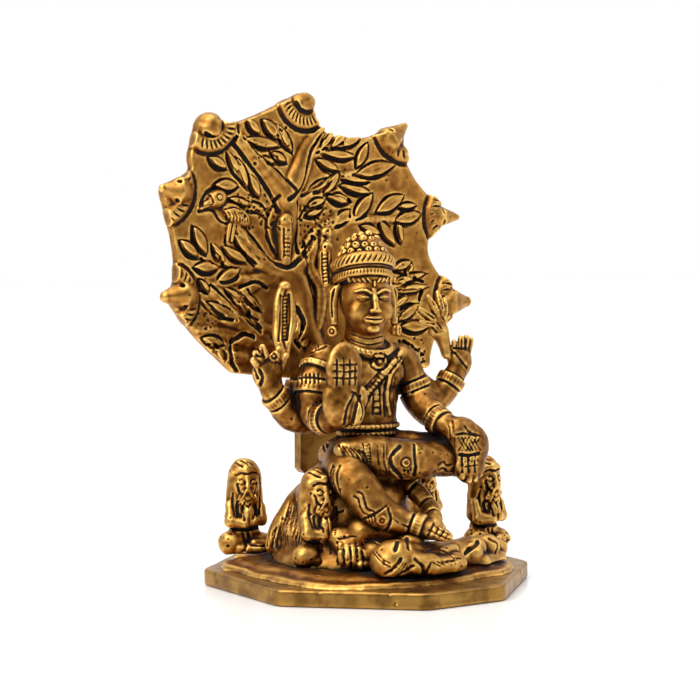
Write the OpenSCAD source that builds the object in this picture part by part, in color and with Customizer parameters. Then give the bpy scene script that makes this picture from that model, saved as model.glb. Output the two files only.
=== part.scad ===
// Seated four-armed teacher figure in cast brass: plinth, rock seat, prone dwarf,
// four small sages and a spiked tree canopy on a strap behind the figure.
// Millimetres. Z is up, -Y is the front, and the origin is under the middle of the plinth.

/* [Plinth] */
// Half width of the eight-sided plinth
plinth_half_w = 46.5; // [44:0.5:50]
// Half depth of the plinth
plinth_half_d = 51; // [49:0.5:54]
// Half length of its left and right edges
plinth_side = 21.7; // [18:0.1:26]
// Half length of its front and back edges
plinth_front = 14; // [10:0.5:18]
// Thickness of the plinth
plinth_t = 5; // [4:0.5:7]
// Thickness of the cast ground that lies on it
ground_t = 3; // [2:0.5:4]
// Diameter of the pegs under the castings
peg_d = 3; // [2:0.25:4]
// Depth of the peg holes below the top of the ground
peg_depth = 6; // [4:0.5:6.5]

/* [Canopy] */
// Height of the highest canopy tip
canopy_top = 152; // [148:1:156]
// Distance of the canopy's front face behind the origin
canopy_y = 24.2; // [23:0.2:26]
// Thickness of the canopy plate
canopy_t = 3.6; // [3:0.2:5]
// Width of the strap behind it
strap_w = 16; // [12:1:18]
// Thickness of the strap
strap_t = 3.6; // [2.6:0.2:4]
// Height of the strap's free lower end
strap_low = 31; // [28:1:36]
// Diameter of the strap's rivets
rivet_d = 3; // [2:0.25:3.5]

/* [Figure] */
// Height of the middle of the head
head_z = 86; // [84:0.5:88]
// Turn of the head towards the figure's right, in degrees
head_turn = 14; // [0:1:20]
// Height of a seated sage above the ground
sage_h = 29.7; // [26:0.1:32]

/* [Hidden] */
facets = 12;          // on the cast, rounded pieces
bed_z = plinth_t + ground_t;
peg_h = peg_depth - 0.5;
strap_y = canopy_y + canopy_t;
sage_places = [[-28.5, 26.5, 8], [-23.5, -7.5, -6], [34.5, 20, -8], [39, -8.5, 4]];
rock_pegs = [[-16, 2], [8, 4]];
dwarf_pegs = [[-10, -32], [18, -28]];
peg_places = concat([for (s = sage_places) [s[0], s[1]]], rock_pegs, dwarf_pegs);
lug_z = 55;           // middle of the lug and of the lowest rivet
strap_top = 88;
strap_x = 1;
rivet_rows = [lug_z, 70, 82];

// ---- shared shapes

module ball(p) { translate([p[0], p[1], p[2]]) sphere(r = p[3], $fn = facets); }

// A rounded limb through points [x, y, z, radius].
module limb(path) {
  for (i = [0 : len(path) - 2]) hull() {
    ball(path[i]);
    ball(path[i + 1]);
  }
}

// An ellipsoid with its half sizes.
module pad(at, half, turn = [0, 0, 0]) {
  translate(at) rotate(turn) scale(half) sphere(r = 1, $fn = facets);
}

// A body whose ellipsoids [at, half] blend from one to the next.
module loft(rings) {
  for (i = [0 : len(rings) - 2]) hull() {
    pad(rings[i][0], rings[i][1]);
    pad(rings[i + 1][0], rings[i + 1][1]);
  }
}

module peg(at) { translate([at[0], at[1], bed_z - peg_h]) cylinder(d = peg_d, h = peg_h + 2, $fn = 24); }

// Everything above the ground.
module above_ground() { translate([-80, -80, bed_z]) cube([160, 160, 160]); }

// ---- plinth and ground

module plinth_outline() {
  w = plinth_half_w;
  d = plinth_half_d;
  s = plinth_side;
  f = plinth_front;
  polygon([[-w, -s], [-f, -d], [f, -d], [w, -s], [w, s], [f, d], [-f, d], [-w, s]]);
}

// A worn oval with a wavy edge, kept inside the plinth.
module ground_outline(inset) {
  half_w = plinth_half_w - 3 - inset;
  half_d = plinth_half_d - 8.5 - inset;
  bulge = 2.4;
  polygon([for (a = [0 : 6 : 354])
    let (c = abs(cos(a)), s = abs(sin(a)),
         r = 1 / pow(pow(c / half_w, bulge) + pow(s / half_d, bulge), 1 / bulge),
         wave = 0.7 * sin(5 * a + 40) + 0.4 * cos(9 * a))
    [(r + wave) * cos(a), (r + wave) * sin(a)]]);
}

module peg_holes(low, high) {
  for (at = peg_places) translate([at[0], at[1], low]) cylinder(d = peg_d, h = high - low, $fn = 32);
}

module base_plate() {
  color("darkgoldenrod") difference() {
    linear_extrude(plinth_t) plinth_outline();
    peg_holes(bed_z - peg_depth, plinth_t + 1);
  }
}

module ground_bed() {
  color("goldenrod") difference() {
    union() {
      translate([0, 0, plinth_t]) linear_extrude(ground_t / 2) ground_outline(0);
      translate([0, 0, plinth_t]) linear_extrude(ground_t) ground_outline(2.5);
    }
    peg_holes(plinth_t - 1, bed_z + 1);
  }
}

// ---- the figure's solids before neighbours are cut away

module head_solid() {
  translate([-1, 0, head_z]) rotate([0, 0, -head_turn]) {
    pad([0, -0.6, 0], [8.2, 8.6, 10]);                          // skull
    loft([[[0, -1.5, -2], [7.4, 7, 6]], [[0, -4, -6.5], [4, 3.6, 3]]]);  // jaw
    limb([[0, -8.6, 1.5, 0.9], [0, -9.6, -1.8, 1.3]]);          // nose
    for (s = [-1, 1]) {
      limb([[8 * s, 1.2, 4, 1.5], [8.8 * s, 1.2, -2, 1.7], [8.8 * s, 0.6, -6, 1.4]]);  // ear
      pad([9 * s, 0, -8.4], [1.9, 1.9, 1.9]);                   // earring
    }
    for (k = [0, 1])                                            // two rolled head bands
      hull() for (a = [0 : 45 : 315])
        ball([8.2 * cos(a), 0.4 + 8.2 * sin(a), 9.2 + 4.3 * k, 1.4 + 0.7 * k]);
    loft([[[0, 1, 15], [8, 8, 4]], [[0, 2, 18.5], [5.5, 5.5, 3.4]]]);   // piled hair
    limb([[-10.5, 2, 6, 2], [-11, 2, 12, 2.2], [-10, 2.4, 15.5, 1.6]]); // side lock
  }
  limb([[-0.4, 1, 72, 6], [-0.8, 0.4, 79, 6]]);                 // neck, a tenon in the torso
}

module front_right_arm_solid() {
  limb([[-15.5, 1.5, 69, 4.8], [-20.5, 0, 60, 4.8], [-20, -2, 52, 4.4], [-19.4, -9.5, 51.5, 3.5]]);
  loft([[[-18.6, -12, 55], [4.6, 3.8, 4.6]], [[-17.8, -13, 61], [6.4, 3.6, 6]],
        [[-17.6, -13.8, 69], [5.8, 2.6, 5]], [[-17.4, -14.2, 73], [3.4, 2.2, 2.6]]]);
  limb([[-13.4, -14.2, 60, 2], [-12, -15.4, 55.5, 1.8], [-14.5, -15.4, 52, 1.8]]);
}

module rear_right_arm_solid() {
  limb([[-15.5, 6.5, 69, 4.4], [-20, 6.5, 59, 4.4], [-18, 5.5, 50.5, 4], [-25, 5, 52.8, 4.2],
        [-31.3, 4.6, 59.6, 3.2]]);
  pad([-33.6, 4.4, 65], [5, 3, 5]);
  for (k = [0 : 3]) limb([[-31 - 2.2 * k, 4.4, 68, 1.4], [-31.6 - 2.3 * k, 3.4, 72.4 - 0.9 * k, 1.2]]);
  limb([[-29.4, 4.4, 65, 1.5], [-26.4, 4.6, 70, 1.4]]);
}

module front_left_arm_solid() {
  limb([[14.5, 1, 67.5, 4.8], [17.6, -1, 56.5, 4.7], [18.2, -8, 52, 4.3], [18.2, -14, 48.6, 3.3]]);
  loft([[[20.5, -16.5, 47.5], [4, 3.6, 3.6]], [[24.6, -18.6, 44.6], [6.2, 3.4, 5.4]],
        [[25.2, -19.4, 38], [6.4, 3, 4.6]]]);
  for (k = [0 : 3]) limb([[20.6 + 2.7 * k, -19.8, 37, 1.8], [21 + 2.3 * k, -19.8, 32.6, 1.5]]);
}

module rear_left_arm_solid() {
  limb([[14.5, 5.5, 67.5, 4.4], [21.5, 5, 60, 4.4], [28.4, 3, 55, 4.1], [33.8, 2.4, 60.6, 3.2]]);
  pad([37.2, 2.2, 66], [4.2, 3, 4.6]);
  for (k = [0 : 3]) limb([[34.6 + 1.8 * k, 2.2, 69, 1.3], [34 + 1.9 * k, 1.6, 73.4 - 0.6 * k, 1.2]]);
  limb([[33.8, 2.4, 65.6, 1.5], [31.6, 3, 71, 1.4]]);
}

module crossed_leg_solid() {
  limb([[9, -3, 40.5, 6.5], [18, -8.5, 39.6, 6], [26, -12.5, 37.6, 5.2]]);
  limb([[25.5, -13.2, 37.6, 5.2], [15, -14.2, 38.4, 5.2], [5, -14.4, 39, 5.5], [-6, -13.8, 40.4, 5.2],
        [-12, -13.2, 41.6, 4.4], [-17, -12.6, 42.6, 3.2]]);
  hull() for (a = [0 : 60 : 300]) ball([4, -14.4 + 5.4 * cos(a), 38.6 + 5.4 * sin(a), 0.9]);
}

module lowered_leg_solid() {
  limb([[-9, -2.5, 39, 6.4], [-14.2, -8.5, 37.8, 6.4], [-16, -13.6, 35, 6.1], [-14.2, -18.4, 30, 5.5],
        [-11.4, -22.6, 25.2, 4.6], [-7.2, -26.6, 22.2, 3.8], [-3, -29.4, 20.8, 3.3]]);
  limb([[-3, -29.4, 20.8, 3.2], [0.6, -33, 19.2, 3], [4.2, -36.2, 17.4, 2.3]]);
  hull() for (a = [0 : 60 : 300]) ball([-11.6 + 4.4 * cos(a), -22, 26 + 4.4 * sin(a), 1]);
}

module torso_solid() {
  loft([[[-0.5, 2, 38], [15, 11, 5]], [[0, 1.5, 43.5], [14.5, 10.5, 4]], [[1, 1, 50], [9.6, 7.4, 4]],
        [[0.6, 1.4, 58], [11.4, 7.6, 5]], [[0, 2, 66], [13.4, 7.6, 5.4]], [[0, 1.6, 71], [8.5, 6.4, 4]]]);
  for (s = [-1, 1]) limb([[7 * s, 2.4, 68.6, 5.4], [14.4 * s, 2.6, 68, 5]]);
  hull() for (a = [0 : 45 : 315]) ball([0.8 + 9.6 * cos(a), 1 + 7.4 * sin(a), 47, 1.2]);  // belt
}

module rock_solid() {
  loft([[[-4.5, 0, 8], [26.5, 21.5, 6]], [[-5, 1, 16], [24, 18.5, 6]], [[-5, 1.5, 26], [18.2, 14.6, 6]],
        [[-2.5, 2, 34], [15.2, 11.8, 4]]]);
  for (k = [0 : 3]) limb([[-18 + 3 * k, 12 - 2 * k, 24, 4], [-24 + 2 * k, 10 - 5 * k, 14, 4.6]]);
  for (k = [0 : 1]) limb([[-22 + 7 * k, -16 - 3 * k, 15, 3], [-18 + 7 * k, -21 - 2 * k, 10, 2.6]]);
}

module sash_solid() {
  limb([[7, -4, 33, 3], [9.6, -6.6, 30.4, 3], [11.8, -9.4, 27.6, 2.8], [13, -12.4, 24.8, 2.6],
        [12.6, -16, 22.4, 2.4], [11, -19.6, 20.6, 2.2], [8.6, -22.4, 18.6, 2]]);
  hull() for (a = [0 : 60 : 300]) ball([12.2 + 2.4 * cos(a), -10.4, 26.6 + 2.4 * sin(a), 0.8]);
  hull() for (a = [0 : 60 : 300]) ball([12.8 + 2.2 * cos(a), -15, 23 + 2.2 * sin(a), 0.8]);
}

module dwarf_solid() {
  limb([[-14.5, -31.5, 12, 5.4], [-7, -32.6, 12.4, 5.6], [2, -31.6, 11.6, 4.8], [10, -29.6, 11.2, 4.6],
        [17, -27.6, 11.6, 5.2]]);
  limb([[17, -27.6, 11.2, 4.8], [22.6, -29.4, 12, 3.4], [24, -28.4, 10, 3.4]]);
  limb([[18, -26, 10.6, 4.4], [27.6, -24.6, 11.4, 3.6], [32.4, -23.4, 9.6, 3.2]]);
  limb([[-8, -36.4, 11, 3.2], [-1, -37.6, 10, 3], [5.4, -37, 9.8, 2.8], [9.6, -36, 9.6, 2.4]]);
  limb([[-12, -29, 15.4, 2.8], [-6.4, -29.6, 16.6, 2.6], [-3.6, -30, 16.8, 2.4]]);
  pad([13, -31.6, 12.6], [3.6, 3.4, 3.2]);
}

module sage_solid() {
  loft([[[0, 0.4, 4], [5.8, 4.6, 4]], [[0, 0.4, 12], [5.4, 4, 4]], [[0, 0.2, 19], [5.4, 3.8, 4]]]);
  pad([0, -0.2, sage_h - 5.6], [4.8, 4.2, 5.6]);
  for (s = [-1, 1]) {
    limb([[2 * s, 0, 3.4, 3.2], [6.6 * s, -2.4, 3, 2.8], [2.6 * s, -5.6, 2.4, 2.2]]);
    limb([[5.2 * s, 0.2, 18, 2.4], [5.8 * s, -1.4, 12, 2.2], [1.6 * s, -4.2, 11, 1.8]]);
  }
  limb([[0, -3.6, 21, 1.9], [0, -4, 14, 1.6]]);
}

// ---- the figure, each casting cut to seat on its neighbours

module torso() {
  color("peru") difference() {
    torso_solid();
    head_solid();
    front_right_arm_solid();
    rear_right_arm_solid();
    front_left_arm_solid();
    rear_left_arm_solid();
    crossed_leg_solid();
    lowered_leg_solid();
    lug_block();
  }
}

module head() { color("burlywood") head_solid(); }

module front_right_arm() {
  color("khaki") difference() {
    front_right_arm_solid();
    head_solid();
  }
}

module rear_right_arm() {
  color("tan") difference() {
    rear_right_arm_solid();
    front_right_arm_solid();
    head_solid();
  }
}

module front_left_arm() {
  color("khaki") difference() {
    front_left_arm_solid();
    head_solid();
  }
}

module rear_left_arm() {
  color("tan") difference() {
    rear_left_arm_solid();
    front_left_arm_solid();
    head_solid();
  }
}

module serpent_loop() {
  color("gold") difference() {
    limb([[-26.4, 5.2, 68, 1.4], [-27.4, 7, 74, 1.4], [-28, 8, 80, 1.4], [-27.4, 8.4, 87, 1.4],
          [-25, 8.6, 91, 1.6], [-22.8, 8.4, 87, 1.4], [-22.4, 8, 80, 1.4], [-23.8, 7, 74, 1.4],
          [-26.4, 5.2, 69, 1.4]]);
    rear_right_arm_solid();
  }
}

module flame() {
  color("gold") difference() {
    union() {
      limb([[31.6, 3, 70.6, 1.6], [30.6, 3.4, 75, 3.2], [29, 4, 79, 3.4], [29, 4.4, 84, 1.6],
            [28.8, 4.6, 88, 0.9]]);
      for (k = [-2 : 2]) limb([[29.6, 4, 77, 2], [29 + 2.6 * k, 4.2, 84 - abs(k), 1]]);
    }
    rear_left_arm_solid();
  }
}

module crossed_leg() {
  color("peru") difference() {
    crossed_leg_solid();
    front_left_arm_solid();
  }
}

module lowered_leg() {
  color("peru") difference() {
    lowered_leg_solid();
    crossed_leg_solid();
  }
}

module rock_seat() {
  color("sienna") {
    difference() {
      intersection() {
        rock_solid();
        above_ground();
      }
      torso_solid();
      crossed_leg_solid();
      lowered_leg_solid();
      sash_solid();
      for (s = sage_places) placed_sage(s);
    }
    for (at = rock_pegs) peg(at);
  }
}

module sash_end() {
  color("rosybrown") difference() {
    sash_solid();
    torso_solid();
    crossed_leg_solid();
    lowered_leg_solid();
  }
}

module dwarf() {
  color("goldenrod") {
    difference() {
      intersection() {
        dwarf_solid();
        above_ground();
      }
      lowered_leg_solid();
      rock_solid();
      sash_solid();
    }
    for (at = dwarf_pegs) peg(at);
  }
}

module placed_sage(place) {
  translate([place[0], place[1], bed_z]) rotate([0, 0, place[2]]) sage_solid();
}

module sage(place) {
  color("darkkhaki") {
    intersection() {
      placed_sage(place);
      above_ground();
    }
    peg(place);
  }
}

module sage_rear_left() { sage(sage_places[0]); }
module sage_front_left() { sage(sage_places[1]); }
module sage_rear_right() { sage(sage_places[2]); }
module sage_front_right() { sage(sage_places[3]); }

// ---- canopy and its strap

// Horn tips from the lower left round to the lower right, and the hollow after each.
canopy_tips = [[-46, 75], [-56.5, 88], [-58.8, 121], [-41.8, 142.5], [-8, canopy_top], [33, 143.3],
               [54, 113], [58.8, 84.5], [42.3, 62.8]];
canopy_hollows = [[-53, 83], [-53.3, 98.7], [-47, 127.7], [-31.7, 141.7], [5, 138.3], [34.5, 127.3],
                  [41, 102], [46.3, 75.8]];
canopy_hub = [-1, 100];
curve_steps = 7;

// One point of the curve that leaves tip a, passes through hollow h half way and ends at tip b.
function scallop(a, h, b, u) =
  let (pull = 2 * h - (a + b) / 2)
  pow(1 - u, 2) * a + 2 * u * (1 - u) * pull + u * u * b;

module canopy_outline() {
  polygon(concat(
    [for (i = [0 : len(canopy_hollows) - 1], k = [0 : curve_steps - 1])
      scallop(canopy_tips[i], canopy_hollows[i], canopy_tips[i + 1], k / curve_steps)],
    [[42.3, 62.8], [24, 61], [0, 60], [-24.5, 62.8], [-33.4, 63.8]]));
}

module tree_canopy() {
  color("darkgoldenrod") {
    translate([0, canopy_y + canopy_t, 0]) rotate([90, 0, 0]) linear_extrude(canopy_t) canopy_outline();
    for (i = [1 : 7]) {                                         // a low cone on each horn
      tip = canopy_tips[i] + 0.035 * (canopy_hub - canopy_tips[i]);
      foot = canopy_tips[i] + 0.17 * (canopy_hub - canopy_tips[i]);
      intersection() {
        hull() {
          translate([tip[0], canopy_y, tip[1]]) sphere(r = 1, $fn = facets);
          translate([foot[0], canopy_y, foot[1]]) sphere(r = 3.2, $fn = facets);
        }
        translate([-70, 0, 0]) cube([140, canopy_y + 1, canopy_top]);
      }
    }
    front = canopy_y;
    limb([[1, front, 72, 2.6], [-1, front, 88, 2.6], [-10, front, 104, 2.6], [-22, front, 107, 1.8]]);
    limb([[-10, front, 104, 2.4], [-8, front, 122, 2.2], [-28, front, 137, 1.2]]);
    limb([[-8, front, 122, 2.2], [3, front, 139, 1.4]]);
    limb([[-22, front, 107, 1.8], [-36, front, 88, 1]]);
  }
}

module lug_block() {
  translate([strap_x - 6, 4, lug_z - 5]) cube([12, strap_y - 4, 10]);
}

module back_lug() {
  color("darkgoldenrod") difference() {
    lug_block();
    translate([strap_x, strap_y + 1, lug_z]) rotate([90, 0, 0]) cylinder(d = rivet_d, h = 7, $fn = 32);
  }
}

module canopy_strap() {
  color("goldenrod") difference() {
    translate([strap_x, strap_y + strap_t, 0]) rotate([90, 0, 0]) linear_extrude(strap_t)
      polygon([[-strap_w / 2, strap_top], [strap_w / 2, strap_top], [strap_w / 2, strap_low],
               [-strap_w / 2 + 1.5, strap_low], [-strap_w / 2, strap_low + 1.5]]);
    for (z = rivet_rows) translate([strap_x, strap_y + strap_t + 1, z]) rotate([90, 0, 0])
      cylinder(d = rivet_d, h = strap_t + 2, $fn = 32);
  }
}

// A shank through the strap with a domed head behind it.
module rivet(z, length) {
  translate([strap_x, strap_y + strap_t, z]) rotate([90, 0, 0]) {
    cylinder(d = rivet_d, h = length, $fn = 32);
    intersection() {
      translate([0, 0, 1.6]) sphere(r = 3.2, $fn = 32);
      translate([-4, -4, -3]) cube([8, 8, 3]);
    }
  }
}

module strap_rivets() {
  color("gold") for (z = rivet_rows) rivet(z, z == lug_z ? strap_t + 5.5 : strap_t);
}

base_plate();
ground_bed();
rock_seat();
torso();
head();
front_right_arm();
rear_right_arm();
front_left_arm();
rear_left_arm();
serpent_loop();
flame();
crossed_leg();
lowered_leg();
sash_end();
dwarf();
sage_rear_left();
sage_front_left();
sage_rear_right();
sage_front_right();
tree_canopy();
canopy_strap();
back_lug();
strap_rivets();
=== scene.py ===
import math

import bpy
import numpy as np
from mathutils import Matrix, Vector


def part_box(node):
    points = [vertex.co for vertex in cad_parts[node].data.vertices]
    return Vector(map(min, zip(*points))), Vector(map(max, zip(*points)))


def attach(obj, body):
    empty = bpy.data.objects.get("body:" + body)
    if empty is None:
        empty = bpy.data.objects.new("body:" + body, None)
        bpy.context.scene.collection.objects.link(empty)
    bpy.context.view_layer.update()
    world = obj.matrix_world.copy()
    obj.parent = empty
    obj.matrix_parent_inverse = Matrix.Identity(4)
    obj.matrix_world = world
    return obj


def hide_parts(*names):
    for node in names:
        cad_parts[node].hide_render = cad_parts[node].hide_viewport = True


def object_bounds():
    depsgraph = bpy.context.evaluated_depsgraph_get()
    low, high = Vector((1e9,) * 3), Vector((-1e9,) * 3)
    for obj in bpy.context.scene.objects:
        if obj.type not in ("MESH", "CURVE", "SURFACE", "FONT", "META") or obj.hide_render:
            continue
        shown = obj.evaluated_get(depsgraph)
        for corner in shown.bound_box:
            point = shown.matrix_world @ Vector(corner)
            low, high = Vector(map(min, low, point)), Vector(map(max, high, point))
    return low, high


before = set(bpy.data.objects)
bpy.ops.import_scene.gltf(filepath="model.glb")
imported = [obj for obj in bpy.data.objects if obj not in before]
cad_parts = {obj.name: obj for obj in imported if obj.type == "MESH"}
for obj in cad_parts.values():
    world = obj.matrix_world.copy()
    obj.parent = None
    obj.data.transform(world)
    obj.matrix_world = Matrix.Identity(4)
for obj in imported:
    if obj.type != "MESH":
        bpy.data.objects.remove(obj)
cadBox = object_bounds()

mm = 0.001
quarterTurn = 33.8          # degrees: the figure as it is seen from its front right quarter
mostTriangles = 190000      # in one piece
keptShare = 0.62            # of the triangles a grid gives
random = np.random.default_rng(7)

# ---- clay: a grid of signed distances in millimetres, negative inside, that is built up and carved


def blurred(values, reach, passes=2):
    # box blur along every axis, reach cells each way
    out = values.astype(np.float32)
    width = 2 * reach + 1
    for axis in range(out.ndim):
        for _ in range(passes):
            edges = [(0, 0)] * out.ndim
            edges[axis] = (reach + 1, reach)
            total = np.cumsum(np.pad(out, edges, mode="edge"), axis=axis, dtype=np.float64)
            high = np.take(total, range(width, total.shape[axis]), axis=axis)
            low = np.take(total, range(0, total.shape[axis] - width), axis=axis)
            out = ((high - low) / width).astype(np.float32)
    return out


def smoothPath(points, steps=5):
    # more points along a rounded line through the given ones, radius included
    p = np.array(points, float)
    p = np.vstack([2 * p[0] - p[1], p, 2 * p[-1] - p[-2]])
    line = []
    for i in range(1, len(p) - 2):
        for u in np.arange(steps) / steps:
            a, b, c, d = p[i - 1:i + 3]
            line.append(0.5 * (2 * b + (c - a) * u + (2 * a - 5 * b + 4 * c - d) * u * u
                               + (3 * b - a - 3 * c + d) * u ** 3))
    line.append(p[-2])
    return np.array(line)


def lookAxes(azimuth):
    # across and away, for someone who looks at the front from azimuth degrees to the figure's right
    a = math.radians(azimuth)
    return np.array([math.cos(a), -math.sin(a), 0.0]), np.array([math.sin(a), math.cos(a), 0.0])


def seen(a, z, depth, azimuth=quarterTurn):
    # a point a mm across, z up and depth away from the origin, in that view
    right, away = lookAxes(azimuth)
    return a * right + depth * away + np.array([0, 0, z])


def turned(direction, spin=0.0):
    # three unit vectors: along the direction, then two across it, turned round it by spin degrees
    along = np.array(direction, float) / np.linalg.norm(direction)
    side = np.cross((0, 0, 1) if abs(along[2]) < 0.9 else (0, 1, 0), along)
    side /= np.linalg.norm(side)
    up = np.cross(along, side)
    c, s = math.cos(math.radians(spin)), math.sin(math.radians(spin))
    return along, c * side + s * up, c * up - s * side


def placed(x, y, z, at, axes):
    # how far each grid point lies from a place, along each of three axes
    return [(x - at[0]) * k[0] + (y - at[1]) * k[1] + (z - at[2]) * k[2] for k in axes]


class Clay:
    farAway = 3.0

    def __init__(self, low, high, cell=0.3):
        self.cell = cell
        self.low = np.array(low, float)
        count = np.ceil((np.array(high, float) - self.low) / cell).astype(int) + 1
        self.field = np.full(count, self.farAway, np.float32)

    def fill(self, distances):
        # takes a shape for the whole grid at once
        self.field = np.clip(distances, -self.farAway, self.farAway).astype(np.float32)

    def window(self, low, high):
        first = np.floor((np.array(low, float) - self.low) / self.cell).astype(int)
        last = np.ceil((np.array(high, float) - self.low) / self.cell).astype(int) + 1
        first, last = np.clip(first, 0, self.field.shape), np.clip(last, 0, self.field.shape)
        part = tuple(slice(a, b) for a, b in zip(first, last))
        axes = [self.low[k] + self.cell * np.arange(first[k], last[k]) for k in range(3)]
        return part, np.meshgrid(*axes, indexing="ij", sparse=True)

    def work(self, low, high, shape, soft=0.0, cut=False):
        # joins a shape on, or carves it out, with a fillet of about soft mm
        part, (x, y, z) = self.window(low, high)
        if self.field[part].size == 0:
            return
        new = shape(x, y, z)
        old = self.field[part]
        if cut:
            old, new = -old, new
        if soft:
            h = np.clip(0.5 + 0.5 * (old - new) / soft, 0, 1)
            both = old + (new - old) * h - soft * h * (1 - h)
        else:
            both = np.minimum(old, new)
        self.field[part] = -both if cut else both

    def rod(self, points, soft=0.4, cut=False):
        # rounded rods through points (x, y, z, radius)
        p = np.array(points, float)
        for a, b in zip(p[:-1], p[1:]):
            grow = max(a[3], b[3]) + soft + 1.0
            run = b[:3] - a[:3]
            length = max(float(run @ run), 1e-9)

            def shape(x, y, z):
                along = (x - a[0]) * run[0] + (y - a[1]) * run[1] + (z - a[2]) * run[2]
                u = np.clip(along / length, 0, 1)
                return np.sqrt((x - a[0] - u * run[0]) ** 2 + (y - a[1] - u * run[1]) ** 2
                               + (z - a[2] - u * run[2]) ** 2) - (a[3] + u * (b[3] - a[3]))
            self.work(np.minimum(a, b)[:3] - grow, np.maximum(a, b)[:3] + grow, shape, soft, cut)

    def egg(self, at, half, axes=None, soft=0.4, cut=False):
        # an ellipsoid with half sizes along its own axes
        at, half = np.array(at, float), np.array(half, float)
        axes = np.eye(3) if axes is None else np.array(axes)
        grow = np.abs(axes.T * half).sum(1) + soft + 1.0

        def shape(x, y, z):
            local = placed(x, y, z, at, axes)
            near = np.sqrt(sum((v / h) ** 2 for v, h in zip(local, half)))
            slope = np.sqrt(sum((v / (h * h)) ** 2 for v, h in zip(local, half)))
            return near * (near - 1) / np.maximum(slope, 1e-6)
        self.work(at - grow, at + grow, shape, soft, cut)

    def leaf(self, at, half, axes, soft=0.15, cut=False):
        # a lens pointed at both ends: half length, half height, half width along its own axes
        at = np.array(at, float)
        grow = np.abs(np.array(axes).T * np.array(half, float)).sum(1) + soft + 0.8

        def shape(x, y, z):
            u, h, v = placed(x, y, z, at, axes)
            width = np.maximum(1 - (u / half[0]) ** 2, 0.02)
            near = np.sqrt((v / (half[2] * width)) ** 2 + (h / (half[1] * np.sqrt(width))) ** 2)
            return np.maximum((near - 1) * np.minimum(half[2] * width, half[1]), np.abs(u) - half[0])
        self.work(at - grow, at + grow, shape, soft, cut)

    def ring(self, at, axis, radius, thick, soft=0.2, cut=False, flat=1.0):
        # a band round an axis, squeezed by flat along the second direction across it
        at = np.array(at, float)
        along, side, up = turned(axis)
        grow = radius * max(1, flat) + thick + soft + 1.0

        def shape(x, y, z):
            u, v, w = placed(x, y, z, at, (along, side, up))
            return np.sqrt((np.sqrt(v * v + (w / flat) ** 2) - radius) ** 2 + u * u) - thick
        self.work(at - grow, at + grow, shape, soft, cut)

    def slab(self, low, high, soft=0.0, cut=False, rounding=0.0):
        low, high = np.array(low, float), np.array(high, float)
        middle, half = (low + high) / 2, (high - low) / 2 - rounding

        def shape(x, y, z):
            q = [np.abs(v - m) - h for v, m, h in zip((x, y, z), middle, half)]
            inner = np.maximum(np.maximum(q[0], q[1]), q[2])
            outer = np.sqrt(sum(np.maximum(v, 0) ** 2 for v in q))
            return outer + np.minimum(inner, 0) - rounding
        self.work(low - 1.2, high + 1.2, shape, soft, cut)

    def touch(self, starts, toward):
        # where each ray from a start point first meets the clay
        toward = np.array(toward, float) / np.linalg.norm(toward)
        steps = np.arange(0, 120, 0.5 * self.cell)
        found = []
        for start in starts:
            cells = np.rint((start + steps[:, None] * toward - self.low) / self.cell).astype(int)
            ok = np.all((cells >= 0) & (cells < self.field.shape), axis=1)
            values = np.where(ok, self.field[tuple(np.clip(cells, 0, np.array(self.field.shape) - 1).T)], 1)
            hits = np.flatnonzero(values < 0)
            if len(hits):
                found.append(start + steps[hits[0]] * toward)
        return found

    def line(self, path, radius, azimuth=quarterTurn, soft=0.1, raised=False, smooth=True, sink=0.0):
        # draws (across, up) points on the surface as seen from one side, as a groove or a raised cord
        right, toward = lookAxes(azimuth)
        path = np.array(path, float)
        if smooth and len(path) > 2:
            dense = smoothPath(path, 4)
        else:
            quarters = [a + (b - a) * u for a, b in zip(path[:-1], path[1:]) for u in (0, 0.25, 0.5, 0.75)]
            dense = np.array(quarters + [path[-1]])
        starts = [a * right + np.array([0, 0, z]) - 60 * toward for a, z in dense]
        points = self.touch(starts, toward)
        lift = (0.25 * radius if raised else 0.0) + sink
        points = [(*(p + lift * toward), radius) for p in points]
        for p, q in zip(points[:-1], points[1:]):
            if np.linalg.norm(np.subtract(p, q)[:3]) < 3.5:      # no bridge where the surface drops away
                self.rod([p, q], soft, cut=not raised)

    def dot(self, a, z, radius, azimuth=quarterTurn, raised=False):
        right, toward = lookAxes(azimuth)
        for p in self.touch([a * right + np.array([0, 0, z]) - 60 * toward], toward):
            self.egg(p, [radius] * 3, soft=0.1, cut=not raised)

    def circle(self, a, z, size, radius, azimuth=quarterTurn, raised=True):
        turns = np.linspace(0, 2 * math.pi, 13)
        self.line([(a + size * math.cos(t), z + size * math.sin(t)) for t in turns], radius, azimuth,
                  raised=raised, smooth=False)

    def bangle(self, at, axis, radius, width=3.0, ticks=24):
        # a flat raised band round a limb, with a dark groove each side and small cuts across
        along, side, up = turned(axis)
        at = np.array(at, float)

        def shape(x, y, z):
            u, v, w = placed(x, y, z, at, (along, side, up))
            across, out = np.abs(u) - width / 2 + 0.35, np.abs(np.sqrt(v * v + w * w) - radius) - 0.3
            return np.sqrt(np.maximum(across, 0) ** 2 + np.maximum(out, 0) ** 2) - 0.35
        for k in (-1, 1):
            self.ring(at + along * (width / 2 + 0.3) * k, axis, radius + 0.1, 0.5, 0.15, cut=True)
        grow = radius + width + 1
        self.work(at - grow, at + grow, shape, 0.1)
        for turn in np.linspace(0, 2 * math.pi, ticks, endpoint=False):
            edge = at + (radius + 0.75) * (side * math.cos(turn) + up * math.sin(turn))
            span = along * width * 0.42
            self.rod([(*(edge - span), 0.24), (*(edge + span), 0.24)], 0.08, cut=True)

    def roughen(self, amount, grain):
        # the soft unevenness of a hand finished casting
        reach = max(1, int(grain / self.cell))
        noise = blurred(random.standard_normal(self.field.shape).astype(np.float32), reach)
        self.field += noise * (amount / noise.std())

    def pit(self, low, high, count, size):
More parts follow.
